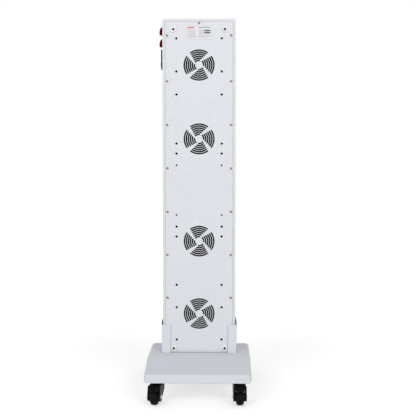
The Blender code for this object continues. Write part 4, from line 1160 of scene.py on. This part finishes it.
def rocker_marks():
    """Raised stroke on one half of a rocker and a raised ring on the other, around its pivot."""
    raised = ROCKER_CROWN * (1 - (MARK_HEIGHT / ROCKER_HALF) ** 2)
    lean = math.atan(2 * ROCKER_CROWN * MARK_HEIGHT / ROCKER_HALF ** 2)
    bar = box_mesh(-MARK_PROUD, MARK_PROUD, -MARK_STROKE / 2, MARK_STROKE / 2, -MARK_SIZE, MARK_SIZE)
    inner = MARK_SIZE - MARK_STROKE
    profile = [(inner, -MARK_PROUD), (MARK_SIZE, -MARK_PROUD), (MARK_SIZE, MARK_PROUD), (inner, MARK_PROUD)]
    ring = turned_mesh("X", 0.0, 0.0, profile, MARK_SIDES, hollow=True)
    marks = []
    for mesh, sign in ((bar, 1), (ring, -1)):
        spot = (ROCKER_PROUD + raised, 0.0, sign * MARK_HEIGHT)
        mesh.transform(Matrix.Translation(spot) @ Matrix.Rotation(-sign * lean, 4, "Y"))
        marks.append(mesh)
    return joined(marks)


def build_switches():
    for name in ("upper", "lower"):
        add_softened("switch_case_" + name, "switch_body_" + name, CUT_EDGE, plastics["black"],
                     "black_plastic")
        node = "rocker_" + name
        low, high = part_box(node)
        # a rocker rests at one end of its tilt, with its lower half out
        tilt = Matrix.Rotation(-math.radians(ROCKER_TILT), 4, "Y")
        turn = Matrix.Translation(joints["rocker_tilt_" + name]["pos_m"]) @ tilt
        rocker = rocker_mesh((high.y - low.y) / 2)
        rocker.transform(turn)
        add_piece("rocker_key_" + name, rocker, plastics["red"], "red_plastic", node, body=node)
        marks = rocker_marks()
        marks.transform(turn)
        add_piece("rocker_marks_" + name, marks, plastics["mark"], "red_plastic", body=node)


def build_inlet():
    """Inlet of black plastic with three pins of bare metal in its socket, and its fuse drawer."""
    low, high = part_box("power_inlet")
    inlet = softened("power_inlet", CUT_EDGE)
    middle = Vector((high.x, (low.y + high.y) / 2, high.z - SOCKET_FROM_TOP))
    pins = [(-PIN_SPREAD_Y, -PIN_SPREAD_Z), (-PIN_SPREAD_Y, PIN_SPREAD_Z), (PIN_SPREAD_Y, 0.0)]
    for face in inlet.polygons:
        spot = face.center - middle
        near = [abs(spot.y - y) < PIN_WIDTH / 2 + NEAR and abs(spot.z - z) < PIN_HEIGHT / 2 + NEAR
                for y, z in pins]
        face.material_index = 1 if any(near) and spot.x > NEAR - SOCKET_DEPTH else 0
    add_piece("mains_inlet", inlet, (plastics["black"], steels["zinc"]), "black_plastic", "power_inlet")
    add_softened("fuse_holder", "fuse_drawer", CUT_EDGE, plastics["black"], "black_plastic",
                 body="fuse_drawer")


def build_uprights():
    upright_in = upright_out - SHEET
    flange_front = upright_high.y - SHEET

    def fold(spot):
        """Bend radii on the two faces of the fold, a broken edge on the rest."""
        out = abs(abs(spot.x) - upright_out) < NEAR and abs(spot.y - upright_high.y) < NEAR
        inner = abs(abs(spot.x) - upright_in) < NEAR and abs(spot.y - flange_front) < NEAR
        return UPRIGHT_BEND if out else UPRIGHT_BEND - SHEET if inner else CUT_EDGE

    for name in ("left", "right"):
        add_softened("upright_bracket_" + name, "upright_" + name, fold, paints["upright"],
                     "upright_white", 3)
        add_softened("liner_pad_" + name, "liner_" + name, MOULDED_EDGE, plastics["rubber"], "black_rubber")


def base_section(inset, floor=None):
    """Side view of the base moved inward, its corners rounded, counter-clockwise in (y, z)."""
    half = base_high.y
    fall = BASE_DROP / (half - BASE_FLAT / 2)
    tilt = math.atan(fall)
    lip = base_high.z - BASE_DROP
    bottom = base_low.z + inset if floor is None else floor
    # the slope moves square to itself, so its ends shift along the lip and the flat top
    drop = inset / math.cos(tilt)
    lip_top = lip + fall * inset - drop
    flat = BASE_FLAT / 2 - (drop - inset) / fall
    top = base_high.z - inset
    right = [(half - inset, bottom), (half - inset, lip_top), (flat, top)]
    outline = [(-y, z) for y, z in right[:1]] + right + [(-y, z) for y, z in reversed(right[1:])]
    skirt = max(SKIRT_ROUND - inset, LEAST_ROUND) if floor is None else 0.0
    nose = max(LIP_ROUND - inset, LEAST_ROUND)
    return rounded(outline, [skirt, skirt, nose, CREASE_ROUND, CREASE_ROUND, nose])


def base_rings(wall, rounding, steps, floor=None):
    """Sections of the base from one end to the other, its ends rounded over."""
    half = base_high.x - wall
    stack = []
    for angle in quarter(steps):
        x = half - rounding + rounding * math.sin(angle)
        section = base_section(wall + rounding * (1 - math.cos(angle)), floor)
        stack.append([(x, y, z) for y, z in section])
    return [[(-x, y, z) for x, y, z in ring] for ring in reversed(stack)] + stack


def base_height_at(y):
    """Height of the base's outer surface, a distance y from its middle line."""
    fall = BASE_DROP / (base_high.y - BASE_FLAT / 2)
    return base_high.z - fall * max(0.0, abs(y) - BASE_FLAT / 2)


def boss_places():
    x = base_high.x - BASE_WALL - BOSS_INSET
    return both_sides(x, both_signs([base_high.y - BASE_WALL - BOSS_INSET]))


def shelf_bolt_places():
    x = shelf_high.x - SHELF_BOLT_INSET
    rows = (shelf_low.y + SHELF_FLANGE / 2, shelf_high.y - SHELF_FLANGE / 2)
    return both_sides(x, rows)


def upright_bolt_places():
    x = upright_out + UPRIGHT_FOOT / 2
    rows = (upright_low.y + UPRIGHT_BOLT_INSET, cover_face - UPRIGHT_BOLT_INSET)
    return both_sides(x, rows)


def build_base():
    """Shell of the base, open below, with the pocket for the panel and bosses for its screws."""
    hollow = base_rings(BASE_WALL, BASE_ROUND - BASE_WALL, HOLLOW_STEPS, floor=base_low.z - BASE_WALL)
    shell = carve(loft_mesh(base_rings(0.0, BASE_ROUND, BASE_STEPS)), [loft_mesh(hollow)])
    bosses = []
    side = upright_out + POCKET_CLEARANCE
    front = min(case_low.y, upright_low.y) - POCKET_CLEARANCE
    cuts = [box_mesh(-side, side, front, upright_high.y + POCKET_CLEARANCE,
                     base_high.z - 2 * BASE_WALL, base_high.z + BASE_WALL)]
    for x, y in boss_places():
        roof = base_height_at(y)
        bosses.append(rod_mesh("Z", x, y, BOSS_RADIUS, plate_high.z + GAP, roof - BASE_WALL / 2))
        cuts.append(rod_mesh("Z", x, y, BOLT_HOLE, base_low.z, roof - 2 * BASE_WALL))
    shell = bevelled(carve(carve(shell, bosses, "UNION"), cuts), BASE_EDGE, 2)
    add_piece("base_shell", shell, paints["base"], "base_white", "base_cover")

    # black rubber strip along the pocket, behind the panel between the two brackets: painted shade, a dark
    # line standing in for the shadow in the gap where the panel enters the base
    half = upright_low.x - GAP
    rear = upright_high.y + POCKET_CLEARANCE + NEAR
    shade_strip = box_mesh(-half, half, rear - SHADE_STRIP_WIDTH, rear,
                      base_high.z - SHADE_STRIP_HEIGHT, base_high.z + SHADE_STRIP_PROUD)
    add_piece("pocket_edging", bevelled(shade_strip, CUT_EDGE, 2), plastics["rubber"], "black_rubber")


def build_fasteners():
    """Screws, bolts and nuts of the base, the casters and the fans."""
    under = plate_low.z
    add_screws("base_screws", at_height(boss_places(), under), steels["zinc"],
               (BASE_SCREW_RADIUS, BASE_SCREW_HEIGHT, BASE_RECESS), DOWN, BASE_SEED)

    flange_top = plate_high.z + GAP + SHELF_SHEET
    foot_top = upright_low.z + SHEET
    fan_low, fan_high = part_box("fan_frame_1")
    bolt = (BOLT_HEX, BOLT_HEAD, BOLT_WASHER, WASHER, BOLT_HOLE, BOLT_HEAD * STUD_SHARE)
    stem = (STEM_HEX, STEM_NUT, STEM_WASHER, WASHER, STEM_RADIUS * STUD_SHARE, STEM_NUT * STUD_SHARE)
    nut = (FAN_HEX, FAN_NUT, FAN_WASHER, WASHER / 2, SCREW_HOLE, FAN_STUD)
    corner = fan_high.x - FAN_HOLE_INSET
    fan_spots = [(x, fan_low.y, middle_of("fan_frame_%d" % i).z + z)
                 for i in NUMBERS for x, z in both_sides(corner, (corner, -corner))]
    stem_spots = [joints["swivel_" + name]["pos_m"][:2] for name in CASTER_NAMES]
    groups = (
        ("shelf_bolts", at_height(shelf_bolt_places(), under), bolt, DOWN),
        ("shelf_nuts", at_height(shelf_bolt_places(), flange_top), bolt, UP),
        ("upright_bolts", at_height(upright_bolt_places(), foot_top), bolt, UP),
        ("stem_nuts", at_height(stem_spots, plate_high.z), stem, UP),
        ("fan_nuts", fan_spots, nut, FORWARD),
    )
    for name, spots, sizes, axis in groups:
        mesh = hexes.grow(spots, steels["zinc"], {**dict(zip(HEX_SIZES, sizes)), "Axis": axis})
        add_piece(name, mesh, steels["zinc"], "zinc_steel")


def caster_frame(name):
    """Frame of a caster: X along its axle, Y along its trail, the swivel axis at its origin."""
    along = Vector(joints["roll_" + name]["axis"])
    trail = Vector(UP).cross(along)
    turn = Matrix((along, trail, UP)).transposed().to_4x4()
    x, y, z = joints["swivel_" + name]["pos_m"]
    return Matrix.Translation((x, y, 0.0)) @ turn


def fork_mesh(braked):
    """Bent fork with its swivel cup; a braked one has a slot in its crown for the pedal."""
    heel = CASTER_TRAIL + FORK_HEEL
    outline = [(-FORK_FRONT, crown_top), (-FORK_FRONT, crown_top - FORK_BROW)]
    outline += arc(CASTER_TRAIL, WHEEL_RADIUS, FORK_EAR, EAR_START, 360, EAR_STEPS)
    outline += [(heel, crown_top - FORK_HEEL_DROP), (CASTER_TRAIL + FORK_BACK, crown_top)]
    radii = [0.0, FORK_CORNER] + [0.0] * (EAR_STEPS + 1) + [FORK_CORNER, 0.0]
    fork = prism_mesh(rounded(outline, radii), "X", -fork_half, fork_half)

    # the sheet's own section, a channel with round bends
    low = WHEEL_RADIUS - 2 * FORK_EAR
    channel = [(-fork_half, low), (-fork_half, crown_top), (fork_half, crown_top), (fork_half, low),
               (fork_inner, low), (fork_inner, crown_under), (-fork_inner, crown_under), (-fork_inner, low)]
    inner_bend = FORK_BEND - FORK_SHEET
    bends = [0.0, FORK_BEND, FORK_BEND, 0.0, 0.0, inner_bend, inner_bend, 0.0]
    rear = CASTER_TRAIL + 3 * FORK_EAR
    fork = carve(fork, [prism_mesh(rounded(channel, bends), "Y", -2 * FORK_FRONT, rear)], "INTERSECT")
    pins = [(CASTER_TRAIL, WHEEL_RADIUS, AXLE_RADIUS)]
    if braked:
        slot = box_mesh(-slot_half, slot_half, CASTER_TRAIL - PEDAL_SLOT, rear,
                        crown_under - FORK_SHEET, crown_top + FORK_SHEET)
        fork = carve(fork, [slot])
        pins.insert(0, (pedal_out, pedal_height, PEDAL_PIN))
    bores = [rod_mesh("X", y, z, radius + GAP, -FORK_WIDTH, FORK_WIDTH) for y, z, radius in pins]
    fork = carve(fork, bores)
    groove = crown_top + CUP_HEIGHT / 2
    profile = [(CUP_RADIUS, crown_top - FORK_SHEET / 2), (CUP_RADIUS, groove - CUP_GROOVE),
               (CUP_RADIUS - CUP_GROOVE, groove), (CUP_RADIUS, groove + CUP_GROOVE)]
    profile += arc(CUP_RADIUS - CUP_EDGE, cup_top - CUP_EDGE, CUP_EDGE, 0, 90, 4)
    fork = carve(fork, [turned_mesh("Z", 0.0, 0.0, profile, ROUND_SIDES)], "UNION")
    bore = rod_mesh("Z", 0.0, 0.0, STEM_RADIUS + 2 * GAP, crown_under - FORK_SHEET, cup_top + FORK_SHEET)
    return bevelled(carve(fork, [bore]), FORK_EDGE, 2)


def wheel_mesh():
    """Wheel around X at the caster's axle: a broad hub disc on each side of a round tyre."""
    hub = fork_inner - GAP
    rim = WHEEL_RADIUS - TYRE_SHOULDER
    groove = WHEEL_HALF - RIM_GROOVE
    half = [(AXLE_RADIUS + GAP, hub)] + arc(HUB_RADIUS - HUB_EDGE, hub - HUB_EDGE, HUB_EDGE, 90, 0, 4)
    half += [(HUB_RADIUS, groove), (rim, groove)]
    depth = WHEEL_HALF - TREAD_HALF
    for angle in quarter(TYRE_STEPS):
        radius = WHEEL_RADIUS - TYRE_SHOULDER * (1 - math.sin(angle))
        half.append((radius, TREAD_HALF + depth * math.cos(angle)))
    profile = half + [(radius, -x) for radius, x in reversed(half)]
    wheel = turned_mesh("X", CASTER_TRAIL, WHEEL_RADIUS, profile, WHEEL_SIDES, hollow=True)
    for face in wheel.polygons:
        out = math.hypot(face.center.y - CASTER_TRAIL, face.center.z - WHEEL_RADIUS)
        face.material_index = 0 if out > rim - NEAR else 1
    return wheel


def axle_mesh():
    """Axle with a domed head on one end and a nut on the other."""
    out = fork_half + GAP
    end = out + AXLE_NUT
    dome = [(AXLE_HEAD_RADIUS * math.cos(angle), -out - AXLE_HEAD * math.sin(angle))
            for angle in quarter(DOME_STEPS)[:-1]]
    profile = dome[::-1] + [(AXLE_RADIUS, -out), (AXLE_RADIUS, end - 2 * AXLE_END),
                            (AXLE_RADIUS - AXLE_END, end)]
    rod = turned_mesh("X", CASTER_TRAIL, WHEEL_RADIUS, profile, AXLE_SIDES)
    chamfer = AXLE_HEAD_RADIUS - AXLE_END
    nut = [(chamfer, out), (AXLE_HEAD_RADIUS, out + AXLE_END), (AXLE_HEAD_RADIUS, end - 2.5 * AXLE_END),
           (chamfer, end - 1.5 * AXLE_END)]
    return joined([rod, turned_mesh("X", CASTER_TRAIL, WHEEL_RADIUS, nut, HEX_SIDES)])


def stem_mesh():
    """Stem with a collar under the base plate and a rivet head in the fork."""
    rivet = crown_under - GAP
    profile = [(RIVET_TOP, rivet - RIVET_HEAD), (RIVET_RADIUS, rivet - RIVET_HEAD / 2),
               (RIVET_RADIUS, rivet), (STEM_RADIUS, rivet), (STEM_RADIUS, collar_bottom),
               (COLLAR_RADIUS - COLLAR_EDGE, collar_bottom), (COLLAR_RADIUS, collar_bottom + COLLAR_EDGE),
               (COLLAR_RADIUS, collar_top - COLLAR_EDGE), (COLLAR_RADIUS - COLLAR_EDGE, collar_top),
               (STEM_RADIUS, collar_top), (STEM_RADIUS, plate_high.z + STEM_END - COLLAR_EDGE),
               (STEM_RADIUS - COLLAR_EDGE, plate_high.z + STEM_END)]
    return turned_mesh("Z", 0.0, 0.0, profile, STEM_SIDES)


def pedal_ribs(ribs):
    """Ridges on the pedal's tread, in the caster's frame."""
    mesh = ribs.grow([(0.0, 0.0, 0.0)], plastics["pedal"], {
        "Count": RIB_COUNT, "Pitch": RIB_PITCH, "Length": 2 * (PEDAL_TIP_HALF - RIB_MARGIN),
        "Width": RIB_WIDTH, "Height": RIB_HEIGHT})
    top = Vector((0.0, PEDAL_HUMP_END, PEDAL_HUMP))
    tip = Vector((0.0, PEDAL_REACH, PEDAL_THICK / 2 - PEDAL_DROP))
    fall = tip - top
    first = top + fall.normalized() * (fall.length - RIB_MARGIN - RIB_PITCH * (RIB_COUNT - 1))
    seat = first + Vector((0.0, pedal_out, pedal_height - RIB_SUNK))
    mesh.transform(Matrix.Translation(seat) @ Matrix.Rotation(math.atan2(fall.z, fall.y), 4, "X"))
    return mesh


def pedal_cheeks():
    """Cheeks of the pedal that hang beside the tyre, inside the fork, in the caster's frame."""
    outline = [(pedal_out + y, pedal_height + z) for y, z in CHEEK_OUTLINE]
    outline = rounded(outline, [CHEEK_CORNER] * len(outline), 4)
    ends = ((CHEEK_IN, CHEEK_OUT), (-CHEEK_OUT, -CHEEK_IN))
    return bevelled(joined([prism_mesh(outline, "X", low, high) for low, high in ends]), CUT_EDGE, 2)


def build_casters():
    forks = {braked: fork_mesh(braked) for braked in (False, True)}
    wheel = wheel_mesh()
    axle = axle_mesh()
    stem = stem_mesh()
    ribs = rib_pattern()
    for name in CASTER_NAMES:
        turn = caster_frame(name)
        braked = "brake_" + name in joints
        frame_body = "caster_" + name
        shapes = (
            ("fork_channel_", forks[braked], plastics["fork"], frame_body, "fork_black", "caster_fork_"),
            ("wheel_tyre_", wheel, (tyre, plastics["hub"]), "wheel_" + name, "tyre_black", "caster_wheel_"),
            ("axle_bolt_", axle, steels["zinc"], frame_body, "zinc_steel", "caster_axle_"),
            ("stem_bolt_", stem, steels["zinc"], "stand", "zinc_steel", "caster_stem_"),
        )
        for label, mesh, finish, body, slot, node in shapes:
            mesh = mesh.copy()
            mesh.transform(turn)
            add_piece(label + name, mesh, finish, slot, node + name, body=body)
        if braked:
            pedal = "pedal_" + name
            add_softened("pedal_tread_" + name, "brake_pedal_" + name, MOULDED_EDGE, plastics["pedal"],
                         "black_plastic", body=pedal)
            for label, mesh in (("pedal_ribs_", pedal_ribs(ribs)), ("pedal_cheeks_", pedal_cheeks())):
                mesh.transform(turn)
                add_piece(label + name, mesh, plastics["pedal"], "black_plastic", body=pedal)


def dress_inner_pieces():
    """Finishes of the solids that are shown as they are."""
    dress(steels["plain"], "panel_shelf")
    dress(steels["zinc"], "base_plate")
    dress(steels["plate"], "heat_plate")
    dress(steels["driver"], *["lamp_driver_%d" % i for i in NUMBERS])
    dress(plastics["fan"], *["fan_frame_%d" % i for i in NUMBERS], *["fan_rotor_%d" % i for i in NUMBERS])
    dress(plastics["rubber"], "front_gasket")
    dress(plastics["cable"], "mains_harness")
    dress(plastics["lead"], "lamp_harness")
    dress(board, "lamp_board_upper", "lamp_board_lower")


def seen_directly(graph):
    """1 for rays from the camera, from gloss and through glass, else 0."""
    ray = graph.add("ShaderNodeLightPath", output="Is Camera Ray")
    return ray.math("MAXIMUM", ray.other("Is Glossy Ray")).math("MAXIMUM", ray.other("Is Transmission Ray"))


def build_floor():
    mesh = bpy.data.meshes.new("floor")
    corners = ((-1, -1), (1, -1), (1, 1), (-1, 1))
    mesh.from_pydata([(FLOOR_HALF * x, FLOOR_HALF * y, 0.0) for x, y in corners], [], [(0, 1, 2, 3)])
    floor = linked("studio_floor", mesh)
    material = bpy.data.materials.new("studio_floor")
    graph = blank_graph(material)
    matte = graph.add("ShaderNodeBsdfDiffuse", {}, {"Color": (*FLOOR_COLOUR, 1.0)})
    # the floor fades into the white around it with the distance from the object
    x, y, z = graph.split(graph.add("ShaderNodeTexCoord", output="Object"))
    far = graph.add("ShaderNodeMapRange", {"interpolation_type": "SMOOTHSTEP"}, {
        "Value": (x * x + y * y) ** 0.5, "From Min": GLOW_FROM, "From Max": GLOW_TO,
        "To Min": GLOW_NEAR, "To Max": GLOW_FAR})
    glow = graph.add("ShaderNodeEmission", {}, {"Strength": seen_directly(graph) * far})
    both = graph.add("ShaderNodeAddShader", {}, {0: matte, 1: glow})
    graph.add("ShaderNodeOutputMaterial", {}, {"Surface": both})
    mesh.materials.append(material)


def aim(item, spot, direction):
    """Put a lamp or the camera in its place and point it."""
    item.location = spot
    item.rotation_euler = direction.to_track_quat("-Z", "Y").to_euler()


def build_light():
    world = bpy.data.worlds.new("studio")
    bpy.context.scene.world = world
    graph = blank_graph(world)
    direct = seen_directly(graph)
    sky = graph.add("ShaderNodeBackground", {}, {
        "Color": (1.0, 1.0, 1.0, 1.0), "Strength": direct + (1.0 - direct) * WORLD_LEVEL})
    graph.add("ShaderNodeOutputWorld", {}, {"Surface": sky})

    for name, spot, power in SOFTBOXES:
        lamp = bpy.data.lights.new("softbox_" + name, "AREA")
        lamp.shape = "SQUARE"
        lamp.size = SOFTBOX_SIZE
        lamp.energy = power
        aim(linked("softbox_" + name, lamp), spot, Vector(SOFTBOX_AIM) - Vector(spot))


def build_camera():
    data = bpy.data.cameras.new("camera")
    data.lens = CAMERA_LENS
    camera = linked("camera", data)
    aim(camera, CAMERA_PLACE, Vector(CAMERA_AIM))
    bpy.context.scene.camera = camera


build_camera()
build_light()
build_floor()
build_case()
build_cover()
build_strips()
build_bumpers()
build_label()
build_lamps()
build_switches()
build_inlet()
build_uprights()
build_base()
build_fasteners()
build_casters()
dress_inner_pieces()

bpy.context.scene.view_settings.view_transform = "Standard"
